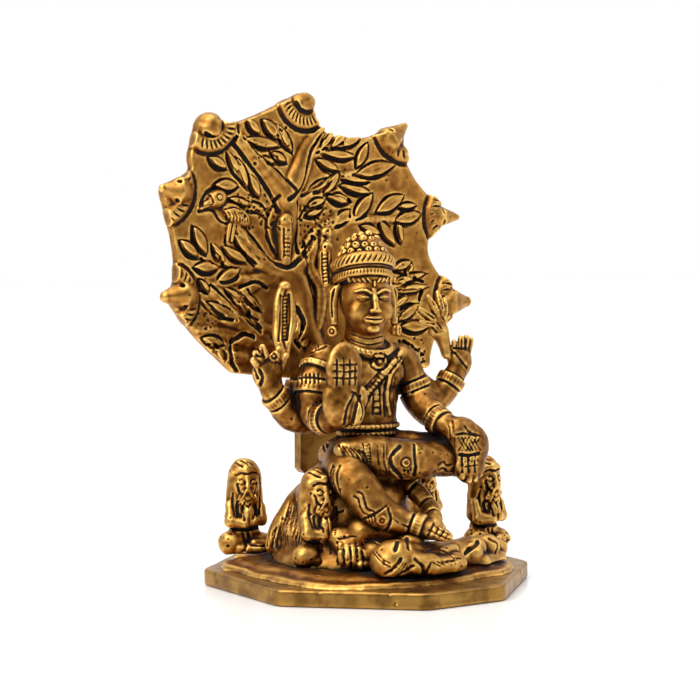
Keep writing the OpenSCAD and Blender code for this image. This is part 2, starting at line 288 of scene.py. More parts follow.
        # casting pits scattered on whatever surface lies in the box
        part, _ = self.window(low, high)
        spots = np.argwhere(np.abs(self.field[part]) < self.cell * 0.6)
        if len(spots) == 0:
            return
        corner = np.array([s.start for s in part])
        for i in random.choice(len(spots), min(count, len(spots)), replace=False):
            at = self.low + self.cell * (spots[i] + corner)
            self.egg(at, [size * (0.6 + 0.8 * random.random())] * 3, soft=0.1, cut=True)

    def mesh(self, name):
        # one point in each cell that the surface crosses, joined across every crossed grid edge
        f = self.field
        full = f < 0
        spans = [slice(None, -1), slice(1, None)]
        corners = sum(full[a, b, c].astype(np.int8) for a in spans for b in spans for c in spans)
        mixed = (corners > 0) & (corners < 8)
        cells = np.argwhere(mixed)
        index = np.full(mixed.shape, -1, np.int32)
        index[mixed] = np.arange(len(cells), dtype=np.int32)
        total, hits = np.zeros((len(cells), 3)), np.zeros(len(cells))
        for axis in range(3):
            for s in (0, 1):
                for t in (0, 1):
                    start = np.insert(np.array([s, t]), axis, 0)
                    stop = start.copy()
                    stop[axis] = 1
                    fa = f[tuple((cells + start).T)]
                    fb = f[tuple((cells + stop).T)]
                    cross = (fa < 0) != (fb < 0)
                    u = np.where(cross, fa / np.where(cross, fa - fb, 1), 0)
                    total += np.where(cross[:, None], start + u[:, None] * (stop - start), 0)
                    hits += cross
        points = self.low + self.cell * (cells + total / hits[:, None])
        quads = []
        for axis in range(3):
            b, c = (axis + 1) % 3, (axis + 2) % 3
            here, there = [slice(1, -1)] * 3, [slice(1, -1)] * 3
            here[axis], there[axis] = slice(0, -1), slice(1, None)
            change = full[tuple(here)] != full[tuple(there)]
            spots = np.argwhere(change) + np.where(np.arange(3) == axis, 0, 1)
            stepB, stepC = np.eye(3, dtype=int)[b], np.eye(3, dtype=int)[c]
            quad = np.stack([index[tuple((spots - m * stepB - n * stepC).T)]
                             for m, n in ((1, 1), (0, 1), (0, 0), (1, 0))], 1)
            outward = full[tuple(spots.T)]
            quads.append(np.where(outward[:, None], quad, quad[:, ::-1]))
        quads = np.concatenate(quads)
        piece = meshObject(name, points, quads)
        thin(piece, min(keptShare, mostTriangles / (2 * len(quads))))
        addMark(piece, "groove", self.hollows(meshPoints(piece) / mm))
        return piece

    def hollows(self, points):
        # how enclosed each point is: 0.5 on a flat, more in a groove, less on an edge
        solid = np.clip(0.5 - self.field / self.cell, 0, 1)
        near = blurred(solid, max(1, int(round(0.47 / self.cell))))
        return sampled(near, (points - self.low) / self.cell)


def sampled(values, cells):
    # values of a grid between its points
    base = np.clip(cells.astype(int), 0, np.array(values.shape) - 2)
    part = cells - base
    total = 0
    for corner in np.ndindex(2, 2, 2):
        weight = np.prod(np.where(corner, part, 1 - part), axis=1)
        total = total + weight * values[tuple((base + corner).T)]
    return total


def meshPoints(piece):
    points = np.empty(len(piece.data.vertices) * 3, np.float32)
    piece.data.vertices.foreach_get("co", points)
    return points.reshape(-1, 3)


def addMark(piece, label, values):
    piece.data.attributes.new(label, "FLOAT", "POINT").data.foreach_set("value", values.astype(np.float32))


def thin(piece, share):
    # leaves only that share of the triangles, taken away where the surface is plain
    modifier = piece.modifiers.new("thin", "DECIMATE")
    modifier.ratio = share
    graph = bpy.context.evaluated_depsgraph_get()
    thinned = bpy.data.meshes.new_from_object(piece.evaluated_get(graph))
    piece.modifiers.clear()
    heavy, piece.data = piece.data, thinned
    bpy.data.meshes.remove(heavy)
    thinned.name = piece.name


def meshObject(name, points, faces):
    data = bpy.data.meshes.new(name)
    data.vertices.add(len(points))
    data.vertices.foreach_set("co", (points * mm).astype(np.float32).ravel())
    data.loops.add(faces.size)
    data.loops.foreach_set("vertex_index", faces.astype(np.int32).ravel())
    data.polygons.add(len(faces))
    data.polygons.foreach_set("loop_start", np.arange(0, faces.size, faces.shape[1], dtype=np.int32))
    data.update(calc_edges=True)
    data.polygons.foreach_set("use_smooth", np.ones(len(faces), bool))
    piece = bpy.data.objects.new(name, data)
    bpy.context.collection.objects.link(piece)
    return piece


# ---- materials


def colour(hexCode):
    # an sRGB hex colour as linear numbers
    parts = [int(hexCode[i:i + 2], 16) / 255 for i in (1, 3, 5)]
    return [v / 12.92 if v <= 0.04045 else ((v + 0.055) / 1.055) ** 2.4 for v in parts] + [1.0]


def addNode(tree, kind, settings=None, values=None, links=None, stops=()):
    # stops are a colour ramp's: its places, each with a hex colour or a grey
    node = tree.nodes.new(kind)
    for key, value in (settings or {}).items():
        setattr(node, key, value)
    for key, value in (values or {}).items():
        node.inputs[key].default_value = value
    for key, source in (links or {}).items():
        tree.links.new(source, node.inputs[key])
    for k, (place, value) in enumerate(stops):
        elements = node.color_ramp.elements
        if k == len(elements):
            elements.new(place)
        elements[k].position = place
        elements[k].color = colour(value) if isinstance(value, str) else (value, value, value, 1)
    return node


brassLook = {
    "rubbed": "#efc169",        # polished high points
    "brass": "#a87535",         # the metal between
    "tarnishAndShade": "#54290c",       # brown tarnish beside the grooves; laid over whole hollows it is also painted shade
    "oxideAndDeepShade": "#100602",         # black wash left in the grooves; it also marks painted shade deep where castings meet
    "mottleMm": 4.0,
    "grainMm": 0.4,
    "washAndShadeSpread": 0.0,                # how much further the wash creeps up out of the grooves, and the painted shade out of the hollows
    "shade": 1.0,               # how brown whole hollows go: painted shade from the recess mark
}
# the deity is darker: more wash in its grooves, and painted shade where its arms and legs crowd the body
figureGrimeAndShadeLook = dict(brassLook, rubbed="#f0c26e", brass="#94642c", tarnishAndShade="#46220a", washAndShadeSpread=0.018)
# the face takes less of the painted shade in its hollows
faceLook = dict(brassLook, shade=0.65)
# the rock takes less of the painted shade in its hollows
rockLook = dict(brassLook, shade=0.4)


def blankMaterial(name):
    # a material with an empty tree, and the object coordinates to paint by
    material = bpy.data.materials.new(name)
    material.use_nodes = True
    tree = material.node_tree
    tree.nodes.clear()
    return material, tree, addNode(tree, "ShaderNodeTexCoord").outputs["Object"]


def antiquedBrass(name, look=brassLook):
    # cast brass, blackened and then rubbed back: near black grooves, brown flanks, bright warm crests, and
    # painted shade browning whole hollows and the corners where castings meet
    material, tree, place = blankMaterial(name)
    groove = addNode(tree, "ShaderNodeAttribute", {"attribute_name": "groove"}).outputs["Fac"]
    recess = addNode(tree, "ShaderNodeAttribute", {"attribute_name": "recess"}).outputs["Fac"]
    mottle = addNode(tree, "ShaderNodeTexNoise",
                     values={"Scale": 1 / (look["mottleMm"] * mm), "Detail": 5.0, "Roughness": 0.6},
                     links={"Vector": place}).outputs["Fac"]
    grain = addNode(tree, "ShaderNodeTexNoise",
                    values={"Scale": 1 / (look["grainMm"] * mm), "Detail": 3.0, "Roughness": 0.7},
                    links={"Vector": place}).outputs["Fac"]
    wander = addNode(tree, "ShaderNodeMath", {"operation": "MULTIPLY_ADD"},
                     {1: 0.16, 2: look["washAndShadeSpread"] - 0.08}, {0: mottle}).outputs["Value"]
    deep, wide = [addNode(tree, "ShaderNodeMath", {"operation": "ADD"},
                          links={0: mark, 1: wander}).outputs["Value"] for mark in (groove, recess)]
    metalColour = addNode(tree, "ShaderNodeValToRGB", links={"Fac": deep},
                          stops=[(0.38, look["rubbed"]), (0.485, look["brass"]),
                                 (0.555, look["tarnishAndShade"])]).outputs["Color"]
    # painted shade: the recess mark lays the tarnish colour over whole hollows and where castings meet
    shade = addNode(tree, "ShaderNodeValToRGB", links={"Fac": wide},
                    stops=[(0.51, 0.0), (0.63, look["shade"])]).outputs["Color"]
    shadeAndTarnishColour = addNode(tree, "ShaderNodeMix", {"data_type": "RGBA"}, {"B": colour(look["tarnishAndShade"])},
                   {"Factor": shade, "A": metalColour}).outputs["Result"]
    # painted shade: deep in the corners where castings meet, the recess mark adds to the groove mark and
    # blackens the metal like the wash
    contactShade = addNode(tree, "ShaderNodeValToRGB", links={"Fac": wide},
                      stops=[(0.55, 0.0), (0.68, 0.12 * look["shade"])]).outputs["Color"]
    grooveAndContactShade = addNode(tree, "ShaderNodeMath", {"operation": "ADD"}, links={0: deep, 1: contactShade})
    black = addNode(tree, "ShaderNodeValToRGB", links={"Fac": grooveAndContactShade.outputs["Value"]},
                    stops=[(0.56, 0.0), (0.62, 1.0)]).outputs["Color"]
    final = addNode(tree, "ShaderNodeMix", {"data_type": "RGBA"}, {"B": colour(look["oxideAndDeepShade"])},
                    {"Factor": black, "A": shadeAndTarnishColour}).outputs["Result"]
    metallic = addNode(tree, "ShaderNodeValToRGB", links={"Fac": black},
                       stops=[(0.0, 1.0), (1.0, 0.25)]).outputs["Color"]
    rough = addNode(tree, "ShaderNodeMath", {"operation": "MULTIPLY_ADD"}, {1: 0.35, 2: 0.22}, {0: grain})
    rougher = addNode(tree, "ShaderNodeMath", {"operation": "MULTIPLY_ADD", "use_clamp": True}, {1: 0.4},
                      {0: black, 2: rough.outputs["Value"]}).outputs["Value"]
    bump = addNode(tree, "ShaderNodeBump", values={"Strength": 0.7, "Distance": 0.11 * mm},
                   links={"Height": grain}).outputs["Normal"]
    shader = addNode(tree, "ShaderNodeBsdfPrincipled", links={
        "Base Color": final, "Metallic": metallic, "Roughness": rougher, "Normal": bump})
    addNode(tree, "ShaderNodeOutputMaterial", links={"Surface": shader.outputs["BSDF"]})
    return material


filedLook = {"brass": "#a98040", "shadow": "#7e5a2a", "cloudMm": 6, "brushMm": 0.5}


def filedBrass(name, look=filedLook):
    # brass filed flat by hand: an even satin yellow with fine scratches and a few brown clouds
    material, tree, place = blankMaterial(name)
    scratch, cloud = [addNode(tree, "ShaderNodeTexNoise", values={"Scale": 1 / (size * mm), "Detail": detail},
                              links={"Vector": place}).outputs["Fac"]
                      for size, detail in ((look["brushMm"], 2.0), (look["cloudMm"], 4.0))]
    tint = addNode(tree, "ShaderNodeValToRGB", links={"Fac": cloud},
                   stops=[(0.38, look["shadow"]), (0.56, look["brass"])]).outputs["Color"]
    rough = addNode(tree, "ShaderNodeMath", {"operation": "MULTIPLY_ADD"}, {1: 0.25, 2: 0.25},
                    {0: scratch}).outputs["Value"]
    bump = addNode(tree, "ShaderNodeBump", values={"Strength": 0.3, "Distance": 0.04 * mm},
                   links={"Height": scratch}).outputs["Normal"]
    shader = addNode(tree, "ShaderNodeBsdfPrincipled", values={"Metallic": 1.0},
                     links={"Base Color": tint, "Roughness": rough, "Normal": bump})
    addNode(tree, "ShaderNodeOutputMaterial", links={"Surface": shader.outputs["BSDF"]})
    return material


antiqued = antiquedBrass("antiquedCastBrass")
grimeAndShadeBrass = antiquedBrass("darkerCastBrass", figureGrimeAndShadeLook)        # the deity holds more of the wash, and painted shade darkens it where its limbs crowd it
faceBrass = antiquedBrass("faceBrassLessShade", faceLook)     # less of the painted shade in the face's hollows
rockBrass = antiquedBrass("paleRockBrass", rockLook)        # less of the painted shade on the rock
filed = filedBrass("filedBrass")


def finishPiece(piece, nodes, material):
    piece.data.materials.append(material)
    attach(piece, "root")
    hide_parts(*nodes)
    print("made", piece.name, len(piece.data.polygons), "faces")


def nodePoints(node):
    # a CAD node's points in millimetres
    return meshPoints(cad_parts[node]) / mm


def nodeBox(node):
    # its lowest and highest corner in millimetres
    return [np.array(corner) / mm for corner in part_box(node)]


def outlineOf(points, hub=(0, 0)):
    # flat points put in order round a hub, each once
    points = np.unique(np.round(points, 2), axis=0)
    return points[np.argsort(np.arctan2(points[:, 1] - hub[1], points[:, 0] - hub[0]))]


def softNoise(shape, reach, amount):
    # slow waves over a grid, amount mm at one standard deviation
    soft = blurred(random.standard_normal(shape), reach)
    return amount * soft / soft.std()


# ---- tree canopy

canopy = {
    "thickness": 3.6,
    "hub": (-1.0, 100.0),
    "roundHorns": [((-43, 130, 5.6), (-41.2, 139.4, 4.9)), ((-16, 142.6, 4.4), (-7.6, 147.6, 4.2))],
    "cell": 0.32,
}
# horns, clockwise from the lower left: middle of the arcs, inner and outer radius, first and last direction
horns = [
    ((-57.2, 87.4), 6.6, 11.4, -42, 62), ((-59.6, 121), 7.0, 12.6, -66, 18),
    ((-42, 141.6), 4.6, 10.2, -112, -14), ((-7.4, 149.6), 4.4, 10.0, 196, 328),
    ((31.6, 143.4), 7.6, 13.4, 196, 266), ((53.5, 113), 8.0, 14.4, 152, 212),
    ((58, 85), 8.4, 14.6, 150, 206),
]
# the swollen cap of each horn: where it starts and ends, with a radius at each
hornCaps = [((-50.8, 88.6, 4.4), (-56.6, 88.2, 2.0)), ((-52.6, 120.0, 4.4), (-57.6, 120.8, 1.3)),
            ((-41.4, 139, 3.9), (-41, 140.4, 3.6)), ((-9, 147.6, 3.2), (-6.6, 148.4, 3.0)),
            ((25.4, 137.8, 4.4), (31.6, 142.4, 1.0)), ((44.6, 112.8, 3.6), (52.6, 112.9, 1.1)),
            ((49.8, 84.8, 4.6), (56.8, 84.8, 1.8))]
# limbs of the tree: points (x, z, radius), each proud of the plate by about half its radius
treeLimbs = [
    [(-3, 70, 3.6), (-7, 80, 3.8), (-9, 90, 4.2), (-14, 95, 4.4), (-20, 96, 3.0), (-27, 102, 2.2),
     (-34, 112, 1.2)],
    [(-12, 95, 4.0), (-7, 101, 3.0), (-3, 107, 2.4), (4, 112, 1.8)],
    [(-15, 104, 2.8), (-13.5, 112, 3.0), (-14, 119, 3.4), (-22, 127, 2.4), (-33, 138, 1.8)],
    [(-14, 118, 3.2), (-10, 126, 3.6), (-7, 133, 3.2), (-1, 141, 1.6)],
    [(-22, 94, 2.4), (-27, 91, 1.6), (-30, 88, 1.2), (-24, 80, 1.2)],
    [(-19, 93, 2.4), (-32, 93, 1.2), (-40, 92, 0.9)],
    [(-8, 76, 3.0), (-20, 77, 1.6), (-33, 83, 1.6), (-43, 91, 0.9)],
    [(-22, 75, 1.8), (-34, 80, 1.8), (-45, 86, 0.9)],
    [(-18, 72, 2.0), (-31, 75, 2.0), (-38, 77, 1.4), (-46, 78, 0.8)],
    [(-30, 69, 1.8), (-37, 70, 1.4), (-42, 73, 0.8)],
    [(-9, 118, 2.0), (2, 124, 1.0), (12, 127, 0.9)],
    [(-7, 132, 1.8), (4, 135, 0.9), (13, 138, 0.8)],
    [(4, 112, 1.6), (12, 112, 1.2), (20, 112, 1.0), (28, 112, 0.8)],
    [(9, 96, 2.0), (26, 84, 1.4), (34, 79, 1.0)],
]
# leaves: (x, z, direction in degrees, length, width)
leaves = [
    (-49, 102.6, 140, 8, 3.2), (-45.3, 105.2, 118, 9.5, 3.8), (-38.8, 101, 125, 7.5, 2.4),
    (-43, 97, 178, 8.5, 3.4), (-35.2, 94.6, 205, 9, 3.6), (-33, 100.8, 150, 10, 3.2),
    (-28.6, 102.6, 137, 13.5, 4.0), (-44, 91.4, 130, 5, 2.0), (-39, 129, 150, 7, 3.0),
    (-36, 122, 178, 8, 3.6), (-33, 128, 120, 10, 2.4), (-30.4, 126, 112, 10, 2.6), (-26, 122, 118, 8, 2.8),
    (-31, 117, 165, 8, 2.2), (-26.2, 140.2, 135, 6.5, 3.0), (-19.6, 139.6, 138, 9, 3.8),
    (-23, 135.4, 172, 13, 3.4), (-15, 137, 122, 10, 3.0), (-17, 131, 150, 6, 2.6), (-21, 130, 160, 5, 2.2),
    (1, 137.4, 52, 9, 2.6), (5, 137, 38, 10, 2.8), (9, 136.8, 18, 10, 3.4), (5, 132.4, -4, 13, 3.0),
    (1, 129, -22, 9, 2.8), (14.2, 132.4, 62, 9, 3.2), (19.5, 128, 14, 16, 4.6), (2.6, 123.4, 52, 9, 3.0),
    (11.5, 124.6, -4, 11, 2.4), (11.5, 121.6, -12, 12, 2.8), (5.5, 118.4, -8, 9, 3.2),
    (-3.4, 117, 18, 7, 2.6),
    (-2, 122.5, 26, 10, 2.6), (14.6, 116, 50, 11, 4.2), (25.2, 117, 28, 12, 4.6), (32.4, 112.6, 12, 11, 4.2),
    (32, 116.4, 4, 7, 2.0), (24, 107.6, 128, 10, 3.6), (29, 107.8, 100, 7, 2.4), (6.4, 112.4, 40, 8, 3.4),
    (17.6, 108.6, -20, 8, 2.8), (17, 105.6, 0, 5, 2.4), (-4, 114, 20, 7, 2.2),
    (30, 97, 20, 8, 2.8), (33, 95.6, 62, 5, 2.2), (33, 93, 12, 14, 2.6), (33.4, 89.4, 6, 14, 3.0),
    (29.6, 85.4, 34, 9, 2.4), (32.4, 81.6, 34, 10, 3.2), (35, 77, -2, 11, 4.0), (29, 91, 20, 8, 2.0),
    (-37.6, 83.6, 150, 12, 2.6), (-29.4, 84.6, 142, 13, 3.0), (-41, 74.4, 165, 8, 3.0),
    (-38.6, 70.4, 120, 7, 2.6), (-26.8, 86.2, 140, 9, 2.4), (-12.6, 83, 80, 9, 2.4),
    (-10, 76, 100, 8, 3.0), (-33, 88.4, 150, 8, 2.2),
]
# gouged lines between the limbs: width, then points (x, z)
gouges = [
    (1.1, [(-34, 135.4), (-28, 128.5), (-21, 120.5), (-17, 114)]),
    (1.0, [(-30, 136.4), (-24, 131), (-17, 126), (-12, 121)]),
    (1.2, [(-14.4, 118), (-9.6, 121.6), (-7.6, 128), (-5.6, 134), (1, 141)]),
    (1.3, [(-21.4, 99.6), (-15.6, 96.8), (-10.4, 99.4), (-5, 105.6)]),
    (1.0, [(-32, 110.6), (-26, 105.6), (-20.6, 99)]),
    (0.9, [(-31.4, 90.6), (-26.4, 92.4), (-21.6, 90.4)]), (1.2, [(-32, 88.6), (-28.6, 83), (-24.4, 78)]),
    (0.8, [(-29, 90), (-24, 83)]), (1.0, [(-41.6, 91.4), (-34, 85), (-24.4, 76.8)]),
    (0.9, [(-45.4, 86.6), (-40, 82), (-34.6, 80.6)]), (1.2, [(-34.6, 74), (-30.6, 76.2), (-27, 75.2)]),
    (0.9, [(-43, 73.4), (-39.6, 73), (-37, 69)]), (0.8, [(-47, 90.4), (-42.4, 88.6)]),
    (0.9, [(-34.6, 75), (-34.8, 69), (-32, 64.4)]), (1.1, [(-7.4, 93), (-5, 86), (-3, 80.6)]),
    (1.0, [(-8, 104), (-7.6, 98), (-2, 91)]), (1.1, [(-11, 84), (-9, 79), (-11.4, 73)]),
    (0.9, [(29, 72.4), (31.6, 67.8), (36, 63.6)]), (0.9, [(30.6, 72.4), (34.6, 70.4), (38.6, 67.6)]),
    (0.9, [(-17.4, 119), (-21, 112), (-20.6, 106), (-17.6, 100)]),
    (0.9, [(-11, 117), (-10.6, 108), (-10.4, 101)]),
    (1.0, [(1, 119.6), (5, 119.4), (10, 117.6)]), (0.9, [(-9, 119), (-3, 122.4), (2, 125.8)]),
    (0.8, [(-4.6, 132.4), (2, 134.4), (8, 134)]), (0.9, [(0, 140.6), (-4.6, 135)]),
    (0.8, [(3, 141), (-1, 136.4)]),
    (0.8, [(30, 70), (34, 66), (39.6, 62.4)]), (0.9, [(26, 80), (32, 84), (37, 84.6)]),
    (0.9, [(27, 95), (33, 93.4), (38.6, 91.6)]), (0.9, [(27.6, 89), (33, 88.8), (37, 89)]),
    (1.0, [(38.4, 89), (36.6, 83), (40, 79.6), (44, 73), (45.4, 66)]),
    (0.7, [(-4, 117), (-8, 114.6), (-9.6, 112)]), (0.8, [(-29, 117.4), (-24, 116.6), (-20, 113)]),
    (0.8, [(-28.6, 114), (-24, 113.4), (-20.8, 111.4)]), (0.8, [(-45, 99.6), (-40, 97.6), (-33, 96.4)]),
    (0.9, [(-36, 103.4), (-31, 101.4), (-26, 97.6)]), (0.8, [(-35.6, 108), (-36.2, 104.4)]),
    (0.8, [(-34, 108), (-34, 104.6)]), (0.8, [(-41.6, 103), (-38, 99), (-36, 97)]),
]


def inPlane(direction):
    # axes for a flat relief form on the canopy's front: along, out of the plate, across
    a = math.radians(direction)
    return np.array([(math.cos(a), 0, math.sin(a)), (0, -1, 0), (-math.sin(a), 0, math.cos(a))])


def plateOutline():
    # the canopy's outline, from the back face of its CAD node
    points = nodePoints("tree_canopy")
    return outlineOf(points[points[:, 1] > points[:, 1].max() - 0.05][:, [0, 2]], canopy["hub"])


def outlineDistance(outline, x, z):
    # signed distance in the plane to a closed outline
    near = np.full(np.broadcast(x, z).shape, 1e9)
    inside = np.zeros(near.shape, bool)
    for a, b in zip(outline, np.roll(outline, -1, axis=0)):
        run = b - a
        u = np.clip(((x - a[0]) * run[0] + (z - a[1]) * run[1]) / max(run @ run, 1e-9), 0, 1)
        near = np.minimum(near, (x - a[0] - u * run[0]) ** 2 + (z - a[1] - u * run[1]) ** 2)
        if a[1] != b[1]:
            cross = (a[1] > z) != (b[1] > z)
            inside ^= cross & (x < a[0] + (z - a[1]) * run[0] / run[1])
    return np.where(inside, -1, 1) * np.sqrt(near)


def makeCanopy():
    low, high = nodeBox("tree_canopy")
    back = high[1]
    front = back - canopy["thickness"]
    clay = Clay((low[0] - 1, front - 4.5, low[2] - 1), (high[0] + 1, back + 1, high[2] + 1), canopy["cell"])
    _, (x, y, z) = clay.window(clay.low, high + 1)
    flat = outlineDistance(plateOutline(), x[:, 0, :], z[0])
    for (xa, za, ra), (xb, zb, rb) in canopy["roundHorns"]:  # two horns are broad and blunt
        run, rise = xb - xa, zb - za
        u = np.clip(((x[:, 0, :] - xa) * run + (z[0] - za) * rise) / (run ** 2 + rise ** 2), 0, 1)
        horn = np.hypot(x[:, 0, :] - xa - u * run, z[0] - za - u * rise) - ra - u * (rb - ra)
        flat = np.minimum(flat, horn)
    flat = blurred(flat, 3) + 0.35
    swell = softNoise(flat.shape, int(6 / clay.cell), 0.35)
    thick = canopy["thickness"] / 2
    across = np.abs(y - (front + thick)) - thick - swell[:, None, :] * (y < front + thick)
    edge = flat[:, None, :]
    worn = 0.35 * np.exp(-((edge - across) / 0.8) ** 2)
    clay.field = np.minimum(clay.farAway, np.maximum(edge, across) + worn).astype(np.float32)

    for x0, z0, direction, length, width in leaves:  # dark beds under the leaves
        axes = inPlane(direction)
        clay.leaf((x0 - 0.25, front, z0 - 0.35), (length / 2 + 1.0, 1.3, width / 2 + 0.9), axes, 0.3,
                  cut=True)
    for limb in treeLimbs:
        path = smoothPath([(x0, front + 0.45 * r, z0, r) for x0, z0, r in limb], 4)
        clay.rod(path, 0.9)
    for x0, z0, direction, length, width in leaves:
        axes = inPlane(direction)
        clay.leaf((x0, front + 0.1, z0), (length / 2, 1.2, width / 2), axes, 0.12)
    for x0, z0, direction, length, width in leaves:  # the middle vein, and a gouge along each side
        along, _, side = inPlane(direction)
        clay.rod([(x0 - 0.34 * length * along[0], front - 1.25, z0 - 0.34 * length * along[2], 0.2),
                  (x0 + 0.3 * length * along[0], front - 1.05, z0 + 0.3 * length * along[2], 0.12)],
                 0.1, cut=True)
        lower = -1 if side[2] + 0.3 * side[0] > 0 else 1
        for way, deep in ((lower, 0.8), (-lower, 0.48)):
            line = []
            for u in np.linspace(-0.5, 0.44, 9):
                off = way * (width / 2 * (1 - 4 * u * u) + 0.3)
                line.append((x0 + u * length * along[0] + off * side[0], front - 0.25,
                             z0 + u * length * along[2] + off * side[2],
                             deep * (1 - 1.6 * (u + 0.03) ** 2)))
            clay.rod(line, 0.1, cut=True)
    for wide, path in gouges:
        clay.line(path, 0.68 * wide, 0, sink=0.25)
    for horn in horns:
        makeHorn(clay, front, horn)
    clay.field = np.maximum(clay.field, edge - 0.3)
    for start, end in hornCaps:
        clay.rod([(x0, front + 0.9, z0, r) for x0, z0, r in (start, end)], 0.8)
    for (x0, z0), inner, outer, first, last in horns:
        turns = np.radians(np.linspace(first, last, 13))
        clay.rod([(x0 + inner * math.cos(a), front - 1.2, z0 + inner * math.sin(a), 0.7) for a in turns], 0.2,
                 cut=True)
    sheet = np.maximum(edge, np.abs(y - back + 0.6) - 0.6)      # 1.2 mm thick, so that the back is unbroken
    clay.field = np.minimum(np.maximum(clay.field, y - back), sheet).astype(np.float32)
    makeBird(clay)
    makeHood(clay, (-16, 111.4), (-15.4, 99), 2.6)
    makeHood(clay, (-1, 107.6), (-1.6, 96), 2.2)
    clay.rod(smoothPath([(-4, front, 104, 1.6), (-6.4, front - 0.4, 97, 1.9), (-2.4, front - 0.8, 90, 1.9),
                         (-3, front - 0.4, 80, 1.9), (-8, front, 73, 1.5)]), 0.3)
    clay.roughen(0.06, 1.0)
    clay.pit((-32, front - 4, 108), (-18, front + 1, 119), 90, 0.5)
    clay.pit((-27, front - 4, 128), (-14, front + 1, 140), 70, 0.45)
    clay.pit((-10, front - 4, 102), (2, front + 1, 116), 110, 0.5)
    clay.pit((-50, front - 4, 74), (-40, front + 1, 84), 40, 0.4)
    clay.pit((29, front - 4, 65), (39, front + 1, 73), 60, 0.4)
    clay.pit((-60, front - 4, 60), (60, front + 1, 152), 220, 0.28)
    clay.field = np.minimum(np.maximum(clay.field, y - back), sheet).astype(np.float32)
    return clay


def makeHorn(clay, front, horn):
    # a fringe of curved strokes between two dark arcs
    (x0, z0), inner, outer, first, last = horn

    def arc(reach, lift, radius, spare=0):
        turns = np.radians(np.linspace(first - spare, last + spare, 13))
        return [(x0 + reach * math.cos(a), front - lift, z0 + reach * math.sin(a), radius) for a in turns]
    clay.rod(arc((inner + outer) / 2, -1.3, 2.6, 12), 0.6)
    clay.rod(arc(outer + 0.3, 0.1, 0.75, 8), 0.2, cut=True)
    count = max(7, int((last - first) / 9))
    for a in np.radians(np.linspace(first - 4, last + 4, count)):
        line = [(x0 + reach * math.cos(a + bend), front - 1.25, z0 + reach * math.sin(a + bend), size)
                for reach, bend, size in ((inner + 1.1, 0.0, 0.25), ((inner + outer) / 2, 0.05, 0.42),
                                          (outer - 0.7, 0.13, 0.36))]
        clay.rod(line, 0.12, cut=True)


def makeBird(clay):
    # a small bird facing left: raised body and head, cut eye, beak and wing bars
    front = nodePoints("tree_canopy")[:, 1].max() - canopy["thickness"]
    for at, half, way in (((-32.6, 113), (5.6, 2.0, 2.6), -32), ((-39.4, 117.8), (3.4, 2.1, 2.7), 20)):
        along, out, side = inPlane(way)
        clay.egg((at[0], front, at[1]), half, [along, out, side], soft=0.5)
    clay.rod([(-41, front - 0.6, 117.2, 1.4), (-46, front - 0.3, 115, 0.5)], 0.3)
    clay.line([(-45.6, 114), (-44, 118.4), (-40.4, 121), (-36.6, 120.4)], 0.6, 0)
    clay.line([(-45.8, 113.8), (-41, 114.4), (-38, 111), (-33, 109.6)], 0.5, 0)
    clay.line([(-45.6, 115.2), (-42.4, 116)], 0.25, 0)
    clay.circle(-39.3, 118.3, 1.0, 0.26, 0, raised=False)
    clay.line([(-42.2, 119), (-41.6, 116.4), (-42.4, 115)], 0.3, 0)
    clay.line([(-37, 114.6), (-34, 115.4), (-30.6, 114.4)], 0.35, 0)
    for k in range(8):
        x = -37 + 0.95 * k
        clay.line([(x, 113.8), (x + 0.9, 112.4), (x + 1.1, 110.8)], 0.24, 0)
    for x in (-36, -34.4):
        clay.rod([(x + 1, front - 0.3, 110, 0.55), (x, front - 0.3, 105, 0.45)], 0.2)


def makeHood(clay, top, foot, half):
    # a hooded snake standing on the trunk: a knob with two eyes, a laddered belly between two rims
    front = nodePoints("tree_canopy")[:, 1].max() - canopy["thickness"] - 2.2
    (x0, z0), (x1, z1) = top, foot
    clay.rod([(x0, front + 1, z0 - 2, half), (x1, front + 1.6, z1, half * 0.7)], 0.5)
    clay.egg((x0, front, z0), (half * 0.95, 1.9, half * 0.85), soft=0.4)
    for way in (-0.5, 0.5):
        clay.rod([(x0 + way * half * 0.9, front - 1.5, z0 + 0.2, 0.3)] * 2, 0.08, cut=True)
        clay.line([(x0 + way * half, z0 - 2.6), (x1 + way * half * 0.9, z1 + 1)], 0.36, 0)
    for z in np.arange(z1 + 1.4, z0 - 2.6, 1.3):
        x = x1 + (x0 - x1) * (z - z1) / (z0 - z1)
        clay.line([(x - 0.36 * half, z), (x + 0.36 * half, z)], 0.26, 0, smooth=False)


# ---- torso

torso = {
    "waist": (9.6, 7.4),    # half width and half depth
    "chest": (13.2, 7.6),
    "beltZ": 47.0,
    "cell": 0.28,
}


def ellipse(at, halfWidth, halfDepth, radius, count=36, lean=0.0):
    # a level loop of cord; lean drops its front by that many mm
    turns = np.linspace(0, 2 * math.pi, count + 1)
    return [(at[0] + halfWidth * math.cos(t), at[1] + halfDepth * math.sin(t),
             at[2] + lean * math.sin(t), radius) for t in turns]


def beadedLoop(clay, at, halfWidth, halfDepth, radius, beads, lean=0.0):
    # a raised loop of small beads with a dark line above and below
    for rise in (-1, 1):
        clay.rod(ellipse((at[0], at[1], at[2] + rise * radius * 1.3), halfWidth + 0.3, halfDepth + 0.3,
                         0.35, lean=lean), 0.1, cut=True)
    clay.rod(ellipse(at, halfWidth, halfDepth, radius * 0.8, lean=lean), 0.2)
    for t in np.linspace(0, 2 * math.pi, beads, endpoint=False):
        out = (math.cos(t) * (halfWidth + 0.85 * radius), math.sin(t) * (halfDepth + 0.85 * radius))
        x, y, z = at[0] + out[0], at[1] + out[1], at[2] + lean * math.sin(t)
        clay.rod([(x, y, z - radius, 0.42), (x, y, z + radius, 0.42)], 0.08, cut=True)


